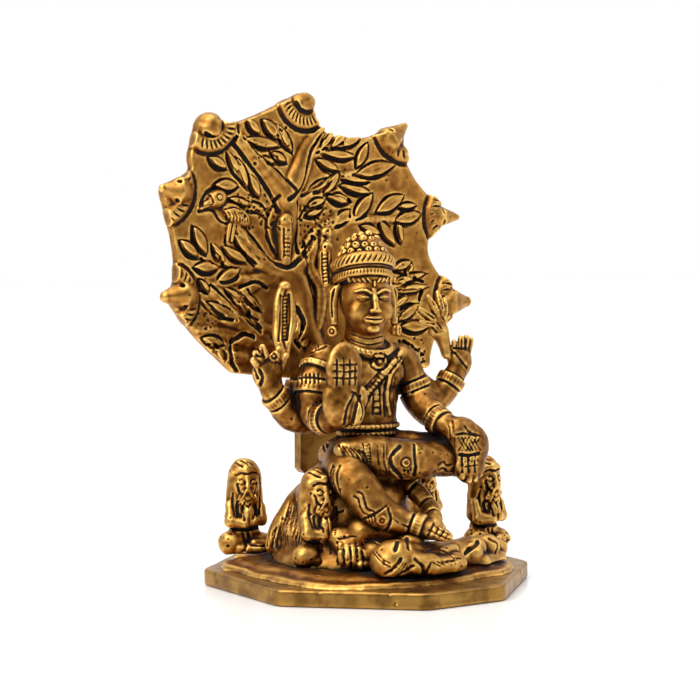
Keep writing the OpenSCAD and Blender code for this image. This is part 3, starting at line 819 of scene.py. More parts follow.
def makeTorso():
    clay = Clay((-21, -13, 33), (21, 15, 78), torso["cell"])
    clay.egg((-0.5, 2, 39.5), (15, 11, 6.6), soft=0)
    clay.egg((0.8, 1, 48.5), (*torso["waist"], 7), soft=3)
    clay.egg((0.6, 1.4, 57), (10.6, 7.2, 8), soft=3)
    clay.egg((0, 1.6, 65), (*torso["chest"], 6.6), soft=3)
    for s in (-1, 1):
        clay.egg((5.4 * s, -3.4, 64.6), (5.2, 3, 4), soft=2)
        clay.rod([(7 * s, 2.6, 69, 5), (14 * s, 2.6, 68, 4.8)], 2)
    clay.egg((0, 1.5, 72), (7.5, 6.6, 3), soft=2)
    # navel, ribs line and the folds of the scarf that crosses the chest
    clay.line([(3.4, 62.6), (3.6, 57), (3.8, 52)], 0.35)
    clay.line([(1.4, 61), (1.6, 57), (1.4, 52)], 0.35)
    for z in (60.2, 58.2, 56.2, 54.2, 52.4):
        clay.line([(1.4, z), (3.6, z - 0.2)], 0.28)
    clay.line([(10.6, 69), (7, 64.6), (5.6, 58), (6.4, 52)], 0.75, raised=True)
    clay.line([(9.4, 68), (6.2, 64.4), (4.8, 58), (5.2, 51.6)], 0.35)
    clay.line([(8.4, 63), (7.8, 57), (8.4, 51)], 0.3)
    # the sacred thread: a ladder-marked band from the left shoulder to the right of the waist
    band = [(10.2, 70.6), (6, 66), (2.6, 62.2), (-0.6, 58.4), (-2.6, 54)]
    for side in (-1.5, 1.5):
        clay.line([(a + 0.7 * side, z + 0.7 * side * -0.9) for a, z in band], 0.42)
    clay.line(band, 0.95, raised=True)
    for u in np.linspace(0.05, 0.95, 15):
        k = min(int(u * 4), 3)
        a = band[k][0] + (band[k + 1][0] - band[k][0]) * (u * 4 - k)
        z = band[k][1] + (band[k + 1][1] - band[k][1]) * (u * 4 - k)
        clay.line([(a - 0.8, z + 0.7), (a + 0.8, z - 0.7)], 0.2)
    beadedLoop(clay, (0, 0.4, 73.4), 7.4, 6.4, 1.25, 32, lean=2.6)
    clay.circle(3.4, 68.2, 1.9, 0.45)
    clay.circle(3.4, 68.2, 2.7, 0.35, raised=False)
    clay.dot(3.4, 68.2, 0.8, raised=True)
    for rise in (1.2, -1.0):
        beadedLoop(clay, (0.8, 1, torso["beltZ"] + rise), 9.8, 7.5, 0.95, 38)
    # gathers of cloth over the hips
    for a in np.arange(-15, 14, 2.3):
        clay.line([(a * 0.86, 45), (a, 41.5), (a * 1.02, 37.5)], 0.3)
    for a in (-14.6, -13.2):
        clay.line([(a, 44), (a + 1.6, 41), (a + 3.4, 39.4)], 0.35)
    for az in (180, 150, 210):  # spine and shoulder blades
        clay.line([(0, 66), (0, 58), (0, 50)], 0.3 if az != 180 else 0.55, az)
    clay.roughen(0.06, 0.8)
    clay.pit(clay.low, (21, 15, 78), 60, 0.25)
    return clay


# ---- head

head = {
    "centre": (-1.0, 0.0, 86.0),
    "turn": 14.0,           # degrees towards the figure's right
    "bandRadius": 8.1,
    "bandTilt": 2.4,
    "curls": [(14.8, 7.2, 17), (17.0, 6.0, 14), (18.9, 4.3, 10), (20.5, 2.3, 6)],   # height, radius, number
    "cell": 0.2,
}


def makeHead():
    spin = math.radians(-head["turn"])
    across = np.array([math.cos(spin), math.sin(spin), 0])
    inward = np.array([-math.sin(spin), math.cos(spin), 0])
    up = np.array([0, 0, 1.0])
    axes = [across, inward, up]
    centre = np.array(head["centre"])

    def at(x, y, z, *radius):
        return (*(centre + x * across + y * inward + z * up), *radius)
    clay = Clay((-17, -13, 69), (15, 13, 109.5), head["cell"])
    clay.egg(at(0, 0, 1.5), (8.0, 8.2, 9.6), axes, soft=0)
    clay.egg(at(0, -2.4, -3.4), (6.6, 5.4, 6.0), axes, soft=1.6)
    clay.egg(at(0, -4.2, -6.6), (3.6, 3.4, 2.9), axes, soft=1.6)
    clay.rod([at(0, 1.2, -14, 6.2), at(0, 0.8, -6, 5.8)], 1.2)
    for s in (-1, 1):
        clay.egg(at(4.1 * s, -4.9, -2.4), (2.9, 2.6, 3.2), axes, soft=1.2)  # cheek
        clay.egg(at(3.3 * s, -8.3, 2.0), (2.3, 1.2, 1.2), axes, soft=0.7, cut=True)  # socket
        clay.rod([at(x * s, y, z, 0.4) for x, y, z in
                  ((1.2, -8.2, 3.3), (2.4, -8.2, 4.1), (3.9, -7.5, 4.3), (5.6, -6.2, 3.7))], 0.35)  # brow
        clay.rod([at(x * s, y, z, 0.28) for x, y, z in
                  ((1.4, -8.5, 4.0), (2.4, -8.4, 4.8), (3.9, -7.8, 5.0), (5.8, -6.4, 4.3))], 0.1, cut=True)
        tilt = np.array([across * math.cos(0.36 * s) + inward * math.sin(0.36 * s),
                         inward * math.cos(0.36 * s) - across * math.sin(0.36 * s), up])
        clay.leaf(at(3.3 * s, -7.2, 1.9), (2.15, 1.0, 0.95), tilt, 0.1)  # eyeball
        for z, rise in ((2.75, 0.55), (1.25, -0.35)):
            clay.rod([at(x * s, y, z - rise * abs(x - 3.3) / 1.9, 0.3) for x, y in
                      ((1.4, -7.9), (2.4, -8.05), (3.3, -7.9), (4.3, -7.5), (5.3, -6.7))], 0.08, cut=True)
        clay.rod([at(1.9 * s, -7.95, 1.85, 0.13), at(3.3 * s, -8.1, 1.75, 0.16),
                  at(4.8 * s, -7.3, 1.85, 0.13)], 0.05, cut=True)
        clay.egg(at(1.05 * s, -9.0, -2.1), (0.8, 0.9, 0.65), axes, soft=0.3)  # nostril wing
        clay.rod([at(1.6 * s, -8.3, -2.7, 0.2), at(2.6 * s, -7.6, -4.2, 0.16)], 0.15, cut=True)
        clay.rod([at(8.0 * s, 1.6, 5.4, 1.3), at(9.6 * s, 2.0, 3, 1.6), at(9.8 * s, 1.6, -2, 1.3),
                  at(9.8 * s, 1.0, -6, 1.2)], 0.5)  # long ear
        for y in (0.6, -0.9):
            clay.rod([at(9.9 * s, y, 4.4, 0.4), at(10.9 * s, y + 0.4, 0, 0.45), at(10.4 * s, y, -4.4, 0.35)],
                     0.1, cut=True)
        clay.rod([at(7.7 * s, -1.6, 4.4, 0.35), at(7.9 * s, -1.8, 0, 0.35), at(7.6 * s, -1.8, -5, 0.3)],
                 0.15, cut=True)
        face = 0.75 * across * s - 0.66 * inward
        clay.egg(at(9.9 * s, 0.6, -8.6), (1.7, 1.7, 1.9), axes, soft=0.4)  # earring
        clay.ring(np.array(at(9.9 * s, 0.6, -8.6)) + face * 1.3, face, 1.25, 0.42, 0.1)
        clay.egg(np.array(at(9.9 * s, 0.6, -8.6)) + face * 1.6, (0.5, 0.5, 0.5), soft=0.1)
    clay.rod([at(0, -7.6, 4.2, 0.6), at(0, -8.6, 1.4, 0.75), at(0, -9.5, -1.2, 0.95)], 0.7)  # nose
    clay.egg(at(0, -9.6, -1.8), (1.15, 1.0, 0.85), axes, soft=0.3)
    clay.egg(at(0, -7.2, -4.8), (2.9, 1.5, 1.7), axes, soft=0.8)  # mouth
    clay.leaf(at(0, -8.3, -4.2), (2.3, 0.75, 0.62), axes[:1] + [-inward, up], 0.1)
    clay.leaf(at(0, -8.2, -5.35), (1.9, 0.8, 0.72), axes[:1] + [-inward, up], 0.1)
    clay.rod([at(x, y, z, 0.3) for x, y, z in ((-2.5, -7.9, -4.6), (0, -9.0, -4.75), (2.5, -7.9, -4.6))],
             0.05, cut=True)
    clay.rod([at(-1.4, -7.9, -6.4, 0.2), at(1.4, -7.9, -6.4, 0.2)], 0.3, cut=True)
    clay.egg(at(0, -7.0, -7.7), (2.0, 1.3, 1.3), axes, soft=0.6)  # chin
    clay.leaf(at(0, -8.1, 6.0), (1.1, 0.5, 0.4), [up, -inward, across], 0.1)  # mark on the brow
    for s in (-1, 1):  # hair below the band
        for k in range(5):
            clay.rod([at((2 + 1.4 * k) * s, -7.6 + 0.5 * k, 7.6, 0.35),
                      at((1.2 + 1.5 * k) * s, -8.1 + 0.55 * k, 6.6, 0.25)], 0.15)
    makeHeadBands(clay, at, axes)
    # the upright ornament beside the bands: a knob over a laddered stem
    stem = [seen(-12.6, 92, 1), seen(-13.2, 96, 0.6), seen(-13.2, 100.6, 0.4), seen(-12.8, 103, 0.6)]
    clay.rod([(*p, r) for p, r in zip(stem, (1.7, 2.2, 2.2, 1.9))], 0.4)
    clay.rod([at(-6, 4, 8, 2.4), (*stem[1], 2.0)], 0.5)
    for a in (-14.2, -12.2):
        clay.line([(a + 0.3, 92), (a, 97), (a, 101.4)], 0.38)
    for z in np.arange(92.5, 101.5, 1.15):
        clay.line([(-13.8, z), (-12.5, z + 0.2)], 0.28, smooth=False)
    clay.dot(-13.2, 103.2, 0.5)
    for z in (74.2, 76.0):  # creases of the neck
        clay.line([(-5.5, z + 0.6), (0, z - 0.8), (6, z + 0.2)], 0.2)
    clay.roughen(0.025, 0.8)
    return clay


def makeHeadBands(clay, at, axes):
    # two rolled bands, ticked below and slashed above, then rows of small curls
    radius = head["bandRadius"]

    def round(turn, reach, z, *size):
        tilt = head["bandTilt"] * -math.sin(turn) * reach / head["bandRadius"]      # higher over the brow
        return at(-0.7 + reach * math.cos(turn), 0.6 + reach * 0.97 * math.sin(turn), z + tilt, *size)
    turns = np.linspace(0, 2 * math.pi, 49)
    clay.egg(at(0, 0.6, 10), (8.4, 8.2, 7.5), axes, soft=0.3)
    clay.rod([round(t, radius - 0.1, 7.6, 1.4) for t in turns], 0.2)
    clay.rod([round(t, radius - 0.4, 11.4, 2.4) for t in turns], 0.2)
    for z, reach in ((5.9, radius + 0.4), (9.15, radius + 1.4), (14.0, radius - 0.2)):
        clay.rod([round(t, reach, z, 0.45) for t in turns], 0.1, cut=True)
    for t in np.linspace(0, 2 * math.pi, 54, endpoint=False):
        clay.rod([round(t, radius + 1.35, 6.9, 0.24), round(t + 0.03, radius + 1.35, 8.5, 0.24)], 0.08,
                 cut=True)
    for t in np.linspace(0, 2 * math.pi, 36, endpoint=False):
        clay.rod([round(t, radius + 1.95, 10.2, 0.28), round(t + 0.09, radius + 2.05, 11.4, 0.34),
                  round(t + 0.16, radius + 1.65, 12.8, 0.28)], 0.08, cut=True)
    clay.egg(at(0, 0.8, 15), (7.2, 7.2, 6.2), axes, soft=0.3)
    for height, reach, count in head["curls"]:
        for k in range(count):
            t = 2 * math.pi * (k + 0.5 * (count % 2)) / count
            x, y = reach * math.cos(t) - 0.7, 0.8 + reach * math.sin(t)
            z = height - 0.2 * y
            z += 0.8 * random.random() - 0.4
            size = 1.0 + 0.35 * random.random()
            clay.egg(at(x, y, z), (size, size, size), soft=0.15)
            clay.egg(at(x * 1.14, 0.8 + (y - 0.8) * 1.14, z + 0.5), (0.42, 0.42, 0.42), soft=0.08, cut=True)


# ---- arms


def fingers(clay, roots, tips, radius, soft=0.2):
    for a, b in zip(roots, tips):
        middle = [(u + v) / 2 for u, v in zip(a, b)]
        clay.rod([(*a, radius), (*middle, radius * 0.95), (*b, radius * 0.8)], soft)


def makeFrontRightArm():
    clay = Clay((-30, -20, 44), (-8, 9, 78), 0.27)
    clay.rod(smoothPath([(-15.5, 1.5, 69, 4.7), (-20.2, 0, 61, 4.8), (-20.4, -2, 53.4, 4.5),
                         (-20, -7.6, 51.6, 3.9), (-19.4, -11, 53.4, 3.4)]), 1.0)
    clay.egg((-18.2, -12.8, 58), (6.6, 3.7, 8.6), soft=1.6)
    clay.egg((-17.9, -13.6, 67), (6.2, 2.9, 8), soft=1.6)
    clay.egg((-12.6, -14.8, 58.4), (2.0, 2.0, 3.4), soft=0.6)  # thumb and forefinger ring
    clay.egg((-14.6, -15.2, 54.4), (2.6, 2.2, 4.4), soft=0.8)
    clay.bangle((-17.9, 0.6, 66.2), (-0.5, -0.2, -0.85), 5.3, 1.8, 22)
    clay.bangle((-20.2, 0, 60.4), (-0.25, -0.2, -0.95), 5.2, 3.5, 24)
    clay.bangle((-20.3, -6.4, 51.8), (0.1, -1, 0.05), 4.3, 3.1, 26)
    cord = [(-12.8, 75), (-15.4, 74), (-18.5, 72.4), (-21.9, 68.6), (-23, 64)]
    clay.line([(a, z + 1.6) for a, z in cord], 0.4)
    clay.line([(a + 0.3, z - 1.7) for a, z in cord], 0.5)
    clay.line(cord, 1.2, raised=True)
    for u in np.linspace(0, 3.9, 16):
        a, z = np.array(cord[int(u)]) * (1 - u % 1) + np.array(cord[int(u) + 1]) * (u % 1)
        clay.line([(a - 0.5, z + 1.1), (a + 0.4, z - 1.1)], 0.26, smooth=False)
    # armlet panel between the bands: upright flutes
    for a in np.arange(-21.5, -14, 1.3):
        clay.line([(a, 65), (a + 0.2, 62.4)], 0.3)
    # finger joints scored across the open palm
    for a, top in ((-9.4, 70.6), (-7.4, 71.2), (-5.6, 70.4), (-4.0, 69)):
        clay.line([(a, top - 0.6), (a + 0.1, 66), (a - 0.1, 62.6)], 0.36)
    for z in (68.4, 66.4, 64.4):
        clay.line([(-10.4, z + 0.3), (-6.8, z), (-3.6, z + 0.1)], 0.3)
    # folds of the lower palm
    clay.line([(-4.4, 59.4), (-6.2, 56), (-7.2, 50.6)], 0.5)
    clay.line([(-2.6, 59), (-3.8, 55.4), (-4.8, 51)], 0.5)
    clay.line([(-4.9, 60.4), (-3.4, 59.2), (-1.8, 55.4), (-2.2, 52)], 0.35)
    clay.roughen(0.05, 0.8)
    clay.pit(clay.low, (-8, 9, 78), 30, 0.25)
    return clay


def makeRearRightArm():
    clay = Clay((-43, -3, 44), (-8, 13, 79), 0.27)
    clay.rod(smoothPath([(-14, 6.5, 69, 4.4), (-20, 6.5, 59, 4.4), (-18.6, 5.5, 51.4, 4.2),
                         (-25, 5, 52.4, 4.3), (-31, 4.6, 58.8, 3.3), (-32.4, 4.5, 62, 3.0)]), 1.0)
    clay.egg((-33.6, 4.4, 65.4), (4.9, 3.1, 5.2), soft=1.4)
    fingers(clay, [(-36.4, 4.2, 67.4), (-36.2, 3.6, 69.2), (-35.4, 3, 70.8)],
            [(-39, 3.4, 69.6), (-38.6, 2.8, 71.6), (-36.6, 2.2, 73.4)], 1.3)
    fingers(clay, [(-31, 3.6, 69), (-29.4, 4, 66.4)], [(-30.4, 3, 72.6), (-27, 4.4, 70.4)], 1.3)
    clay.bangle((-30.4, 4.7, 58), (-0.7, 0, 0.72), 3.7, 3.1, 24)
    clay.circle(-28.3, 70.4, 1.35, 0.4)
    clay.dot(-28.3, 70.4, 0.55, raised=True)
    clay.line([(-35.4, 68), (-34, 66.4), (-33, 64)], 0.45)
    clay.line([(-32.6, 66.6), (-31.6, 64.4), (-32.4, 61.8)], 0.5)
    clay.line([(-34.6, 71), (-31, 70.4)], 0.35)
    for a in (-35.6, -33.6, -31.8):
        clay.line([(a, 73.6), (a + 0.4, 70.8)], 0.35)
    clay.bangle((-20, 6.5, 60.4), (-0.25, 0, -0.95), 4.7, 2.8, 22)
    clay.roughen(0.05, 0.8)
    clay.pit(clay.low, (-8, 13, 79), 30, 0.25)
    return clay


def makeFrontLeftArm():
    clay = Clay((8, -25, 27), (36, 9, 76), 0.27)
    clay.rod(smoothPath([(13.6, 1, 68, 4.8), (17, -0.6, 58.6, 4.8), (17.8, -4.6, 53.8, 4.6),
                         (18.2, -10.6, 50.4, 3.8), (19, -14.6, 48.6, 3.4)]), 1.0)
    clay.egg((22.6, -17.4, 46.6), (5.8, 3.8, 4.6), soft=1.4)
    clay.egg((25.2, -18.8, 42.2), (6.9, 3.3, 6.4), soft=1.6)
    clay.egg((24.4, -19.4, 36), (5.6, 3.0, 5.4), soft=1.4)
    fingers(clay, [(21.2, -20.4, 37), (23.6, -20.8, 37), (26, -20.6, 37.2), (28.2, -20, 38)],
            [(20.8, -20.4, 33), (23, -20.8, 31.8), (25.2, -20.8, 32), (27.4, -20.2, 33.4)], 1.5, 0.15)
    clay.egg((30, -17.8, 40), (2.2, 2.2, 4.6), soft=0.8)  # thumb, on the far side
    clay.bangle((18.2, -12, 49.6), (0.16, -0.9, -0.4), 4.0, 3.5, 26)
    clay.bangle((16.8, -0.2, 60), (0.3, -0.2, -0.92), 5.0, 2.4, 26)
    # lattice scored on the back of the hand
    clay.line([(26.8, 46), (29.6, 46.3), (33.4, 45.2)], 0.4)
    clay.line([(29.4, 48.4), (31, 46.6), (34, 45.4)], 0.35)
    for a in np.arange(27.4, 32.6, 1.15):
        clay.line([(a, 45), (a + 2.4, 41)], 0.26)
        clay.line([(a + 2.2, 45), (a + 0.2, 41)], 0.22)
    clay.line([(28, 39.8), (31, 39.6), (34, 40)], 0.55)
    for a in (28.6, 30.6, 32.6):
        clay.line([(a, 39.4), (a + 0.1, 34.4)], 0.4)
    for z in (37.6, 36.2):
        clay.line([(29.4, z), (33.6, z + 0.3)], 0.22)
    for a in (24.4, 25.8):
        clay.line([(a, 50.2), (a + 0.6, 46), (a + 0.4, 41)], 0.16)
    clay.roughen(0.05, 0.8)
    clay.pit(clay.low, (36, 9, 76), 40, 0.25)
    return clay


def makeRearLeftArm():
    clay = Clay((8, -3, 48), (45, 12, 79), 0.27)
    clay.rod(smoothPath([(13, 5.5, 68, 4.4), (20.6, 5, 60.6, 4.4), (27.4, 3.4, 55.6, 4.4),
                         (32.4, 2.6, 58.8, 3.7), (35, 2.4, 62.4, 3.2)]), 1.0)
    clay.egg((37, 2.2, 66.6), (4.1, 3.0, 5.4), soft=1.4)
    fingers(clay, [(34.8, 1.8, 69.6), (36.4, 1.4, 70.2), (38, 1.4, 70.2), (39.6, 1.8, 69.6)],
            [(34, 1.2, 72.8), (36.2, 0.6, 74), (38.4, 0.6, 74.2), (40.4, 1.2, 73.4)], 1.25, 0.12)
    fingers(clay, [(34.4, 2.4, 66)], [(31.8, 3, 70.6)], 1.3)
    clay.bangle((33.6, 2.6, 60.4), (0.55, -0.05, 0.83), 4.0, 3.1, 24)
    clay.circle(25.6, 70.8, 1.15, 0.4)
    clay.dot(25.6, 70.8, 0.5, raised=True)
    for a, z in ((28.4, 73.4), (30, 73.6), (31.4, 73.4)):
        clay.line([(a, z), (a - 0.2, z - 3)], 0.35)
    clay.line([(27.6, 69.6), (29.4, 67.4), (31.6, 64.6)], 0.4)
    clay.line([(27.2, 71), (31.4, 70.8)], 0.35)
    clay.roughen(0.05, 0.8)
    clay.pit(clay.low, (45, 12, 79), 20, 0.25)
    return clay


# ---- what the rear hands hold


def makeSerpentLoop():
    clay = Clay((-31, 2, 65), (-19, 12, 95), 0.24)
    for a in (-1, 1):
        clay.rod(smoothPath([(-27 + 0.5 * a, 5.6, 70.6, 1.3), (-26.4 + 2.0 * a, 7.2, 76, 1.3),
                             (-25.2 + 2.6 * a, 8, 80, 1.35), (-25.1 + 2.2 * a, 8.4, 87, 1.2),
                             (-25 + 0.4 * a, 8.6, 91.4, 1.2)]), 0.4)
    clay.rod([(-26.8, 7.0, 72, 1.0), (-25.6, 8.6, 80, 1.1), (-25.1, 8.9, 88, 1.0)], 0.4)
    clay.egg((-25, 8.4, 91.4), (1.9, 1.8, 1.5), soft=0.3)
    for z in np.arange(75, 89, 1.1):
        clay.line([(-26.1, z), (-24.5, z + 0.2)], 0.24)
    for a in (-26.4, -24.1):
        clay.line([(a - 0.6, 75), (a - 0.1, 81), (a, 88.6)], 0.5)
    clay.roughen(0.035, 0.9)
    return clay


def makeFlame():
    clay = Clay((19, -2, 66), (39, 10, 91), 0.24)
    clay.rod([(32, 2.8, 69, 1.6), (31.4, 3.2, 72.6, 1.9), (30.2, 3.6, 76, 2.8)], 0.8)
    clay.egg((29.4, 3.8, 77), (3.6, 2.0, 3.6), soft=0.8)
    for x, z, size in ((23.2, 79.4, 1.3), (22.8, 83.4, 1.35), (26, 87.4, 1.4), (29.8, 88.6, 1.35),
                       (32.6, 86.4, 1.2)):
        root = np.array((29.2, 3.8, 77.4))
        tip = np.array((x, 4.6, z))
        bend = (root + tip) / 2 + (0.6, -0.8, 0.3)
        clay.rod(smoothPath([(*root, size), (*bend, size), (*tip, size * 0.55)], 4), 0.3)
        vein = tip * 0.7 + bend * 0.3 + (0, -1.1, 0)
        clay.rod([(*(bend + (0, -1.1, 0)), 0.26), (*vein, 0.2)], 0.08, cut=True)
    for k in range(4):
        clay.line([(20.4 + 1.7 * k, 77.6 + 1.6 * k), (22 + 1.5 * k, 76 + 1.3 * k)], 0.3)
    clay.roughen(0.04, 0.9)
    return clay


# ---- legs and cloth


def makeCrossedLeg():
    clay = Clay((-23, -23, 29), (34, 5, 49), 0.29)
    clay.rod([(9, -3, 40.5, 6.3), (18, -8.5, 39.6, 6), (26, -12.5, 37.6, 5.2)], 1)
    clay.rod(smoothPath([(26.5, -13, 37.6, 5.2), (15, -14.2, 38.2, 5.0), (5, -14.4, 38.6, 5.6),
                         (-5, -13.8, 40.2, 5.5), (-11, -13.2, 41.4, 4.6), (-17, -12.6, 42.4, 3.2)]), 1.4)
    # knee plate: a shield with a ring, bounded by a dark arc and a straight edge
    clay.line([(9.6, 43.6), (7, 41), (6.8, 38), (9.4, 34.4), (10.4, 32)], 0.65)
    clay.line([(13.8, 43.8), (14.2, 38), (13.4, 32.6)], 0.6)
    clay.circle(11.2, 38.6, 1.0, 0.3)
    clay.circle(11.2, 38.6, 1.5, 0.24, raised=False)
    for a, z in ((10.6, 36.6), (11.8, 36.4), (12.6, 37)):
        clay.line([(a, z), (a + 0.1, z - 1.2)], 0.24)
    # ladder band and gathers nearer the hip
    for a in (-1.7, 0.3):
        clay.line([(a, 44.6), (a + 0.3, 40), (a, 35.6)], 0.3)
    for z in np.arange(36.4, 44.6, 0.95):
        clay.line([(-1.6, z), (0.4, z + 0.1)], 0.22)
    for k in range(6):
        clay.line([(-9 + 1.2 * k, 44.6 - 0.3 * k), (-7 + 1.2 * k, 41.4), (-5.4 + 1.0 * k, 38.6)], 0.3)
    clay.line([(-9.6, 39.8), (-6.6, 39.6), (-3.6, 37.4), (-1.8, 35.8)], 0.7)
    for a in (2.6, 4.4, 5.4):
        clay.line([(a, 44), (a + 0.3, 39), (a + 1.2, 35)], 0.18)
    # two wavy lines on the far shin
    for rise in (0, -2):
        clay.line([(21.4, 37 + rise), (22.8, 38 + rise), (24, 36.6 + rise), (25.6, 36.8 + rise)], 0.3)
    for a, z in ((15.2, 42), (16.2, 42.2), (15.6, 41.2), (15.4, 35), (16.4, 34.6), (19.6, 41), (22, 40.4)):
        clay.dot(a, z, 0.35)
    clay.roughen(0.07, 1.0)
    clay.pit((-23, -23, 29), (34, 5, 36), 120, 0.4)
    clay.pit(clay.low, (34, 5, 49), 60, 0.25)
    return clay


def makeLoweredLeg():
    clay = Clay((-24, -41, 10), (10, 5, 47), 0.29)
    clay.rod(smoothPath([(-9, -2.5, 39, 6.2), (-14.2, -8, 38, 6.2), (-16.2, -13.4, 35.4, 6.0),
                         (-14.2, -18.4, 30, 5.5), (-11.4, -22.6, 25.2, 4.6), (-7.4, -26.4, 22.4, 3.8),
                         (-3, -29.4, 21, 3.3)]), 1.0)
    clay.rod([(-3, -29.4, 21, 3.2), (-0.4, -32.4, 19.8, 3.0)], 1.0)
    clay.egg((1.6, -34.2, 18.8), (4.6, 3.0, 2.2), turned((0.72, -0.6, -0.26)), soft=0.8)
    # hem band round the thigh, with a beaded edge
    for shift in (0, 1.9):
        clay.line([(-10.6 + shift, 38.6), (-11.4 + shift, 35.4), (-10.4 + shift, 30.6)], 0.35)
    for k in range(8):
        clay.dot(-10.3 + 0.05 * (k - 4) ** 2 - 0.4, 31.4 + 0.95 * k, 0.4)
    # two long wavy lines down the front of the knee
    clay.line([(-3.4, 31.4), (-1.8, 30.6), (-1.2, 28.4), (-0.4, 26.4), (1.6, 25.6)], 0.27)
    clay.line([(-4.4, 30), (-3, 29), (-2.6, 26.8), (-1.6, 25), (-0.2, 24.4)], 0.27)
    # knee ornament: a ticked band that ends in a ringed disc
    clay.line([(-2.8, 22.4), (1.2, 24.6), (5.2, 27.4)], 0.4)
    clay.line([(5.6, 26.4), (6.4, 23.4), (4.8, 19.6), (2, 18.8)], 0.42)
    clay.circle(3.9, 23, 1.25, 0.32)
    clay.dot(3.9, 23, 0.45, raised=True)
    clay.line([(-2.4, 21), (0.4, 20), (2.4, 19.6)], 0.3)
    for k in range(5):
        clay.line([(-1.8 + 0.85 * k, 22.6 + 0.45 * k), (-1 + 0.75 * k, 20.6 + 0.35 * k)], 0.24)
    clay.line([(7, 23.6), (10, 21.8), (13, 20.4)], 0.24)
    # anklet and toes
    clay.bangle((-2.6, -30, 20.8), (0.62, -0.66, -0.3), 3.5, 3.0, 24)
    for k in range(4):
        clay.line([(17.2 + 1.7 * k, 18.2 - 0.2 * k), (19.2 + 1.8 * k, 22.2 - 0.7 * k)], 0.32)
    for rise in (0, 1.6):
        clay.line([(17.6 + rise, 20.2 + rise), (21, 18.6 + rise), (25, 16.6 + rise)], 0.28)
    clay.roughen(0.05, 0.9)
    clay.pit(clay.low, (10, 5, 47), 40, 0.28)
    return clay


def makeSashEnd():
    clay = Clay((1, -27, 14), (18, 1, 38), 0.27)
    clay.rod(smoothPath([(7, -4, 33, 3), (9.6, -6.6, 30.4, 3), (11.8, -9.4, 27.6, 2.8),
                         (13, -12.4, 24.8, 2.6), (12.6, -16, 22.4, 2.5), (11, -19.6, 20.4, 2.3),
                         (8.6, -22.4, 18.6, 1.8)]), 0.6)
    for at, axis, size in (((11, -8.2, 28.6), (0.5, -0.6, -0.6), 3.0),
                           ((13.1, -13, 24.2), (0.1, -0.8, -0.6), 2.7),
                           ((11.8, -17.8, 21.2), (-0.4, -0.8, -0.5), 2.5)):
        clay.ring(at, axis, size, 0.5, 0.1, cut=True)
    clay.roughen(0.06, 0.8)
    return clay


# ---- rock seat, with the skin that is spread over it


def makeRockSeat():
    clay = Clay((-38, -29, 7.2), (27, 23, 41), 0.33)
    clay.egg((-4.5, 0, 8), (26.5, 21.5, 9), soft=0)
    clay.egg((-5.5, 0.5, 17), (22.5, 18, 9), soft=4)
    clay.egg((-5, 1.5, 27), (18, 14, 8), soft=5)
    clay.egg((-2.5, 2, 34), (15, 11.5, 5), soft=3)
    for k in range(5):  # ridged skin falling down the left side and back
        clay.rod(smoothPath([(-17 + 2 * k, 10 - 1 * k, 27, 3.2), (-22.6 + 2 * k, 11 - 5 * k, 19, 3.4),
                             (-26.4 + 3 * k, 12 - 7 * k, 11.5, 3.0)], 3), 2)
    clay.rod([(-15, -18, 19, 4), (-6, -20, 18.5, 4), (4, -19, 17, 4)], 3)  # ledge under the leg
    clay.rod([(-20, -14, 17, 3), (-18, -19, 12.4, 3.4)], 2)
    # a small beast's head at the edge of the skin, jaws open, and a paw beside it
    clay.egg((-21, -21.6, 12.6), (3.8, 3.0, 3.2), soft=0.8)
    clay.rod([(-19, -23, 13.4, 1.9), (-15.4, -24.6, 12.4, 1.2)], 0.4)
    clay.rod([(-19.4, -23.4, 10.2, 1.4), (-15.6, -24.8, 10, 0.9)], 0.4)
    clay.egg((-12.6, -23, 12.4), (5.4, 3.4, 4.2), soft=1.0)
    for a in (-8.4, -6.6, -4.8, -3.0):
        clay.line([(a, 15.4), (a + 0.3, 12.4), (a + 0.5, 9.6)], 0.85, raised=True)
    for a in (-9.4, -7.5, -5.7, -3.9, -2.1):
        clay.line([(a, 15.8), (a + 0.3, 12.6), (a + 0.5, 9.2)], 0.5)
    # hair of the skin
    for k in range(22):
        a = -31 + 0.62 * k + 0.5 * random.random()
        top = 25.6 - abs(k - 13) * 0.75 + random.random()
        clay.line([(a + 1.6, top), (a + 0.6, top - 4.5), (a - 0.2, top - 8.5 - 2 * random.random())], 0.3)
    for k in range(26):
        turn = 60 + 9 * k
        clay.line([(-2, 25 + 2 * random.random()), (0, 19), (1.2, 12)], 0.3, turn + 3 * random.random())
    clay.line([(-9.4, 23.8), (-6, 24.2), (-1.4, 22.8), (3, 19.4)], 0.4)  # edge of the skin
    clay.line([(-9, 17), (-4, 17.8), (2, 16), (6, 14.4)], 0.35)
    clay.line([(-10.4, 29.4), (-9.6, 24), (-10, 18)], 0.35)
    clay.slab((-60, -60, 0), (60, 60, 7.9), cut=True)
    clay.roughen(0.1, 1.6)
    clay.pit(clay.low, (27, 23, 41), 120, 0.35)
    return clay


# ---- prone dwarf


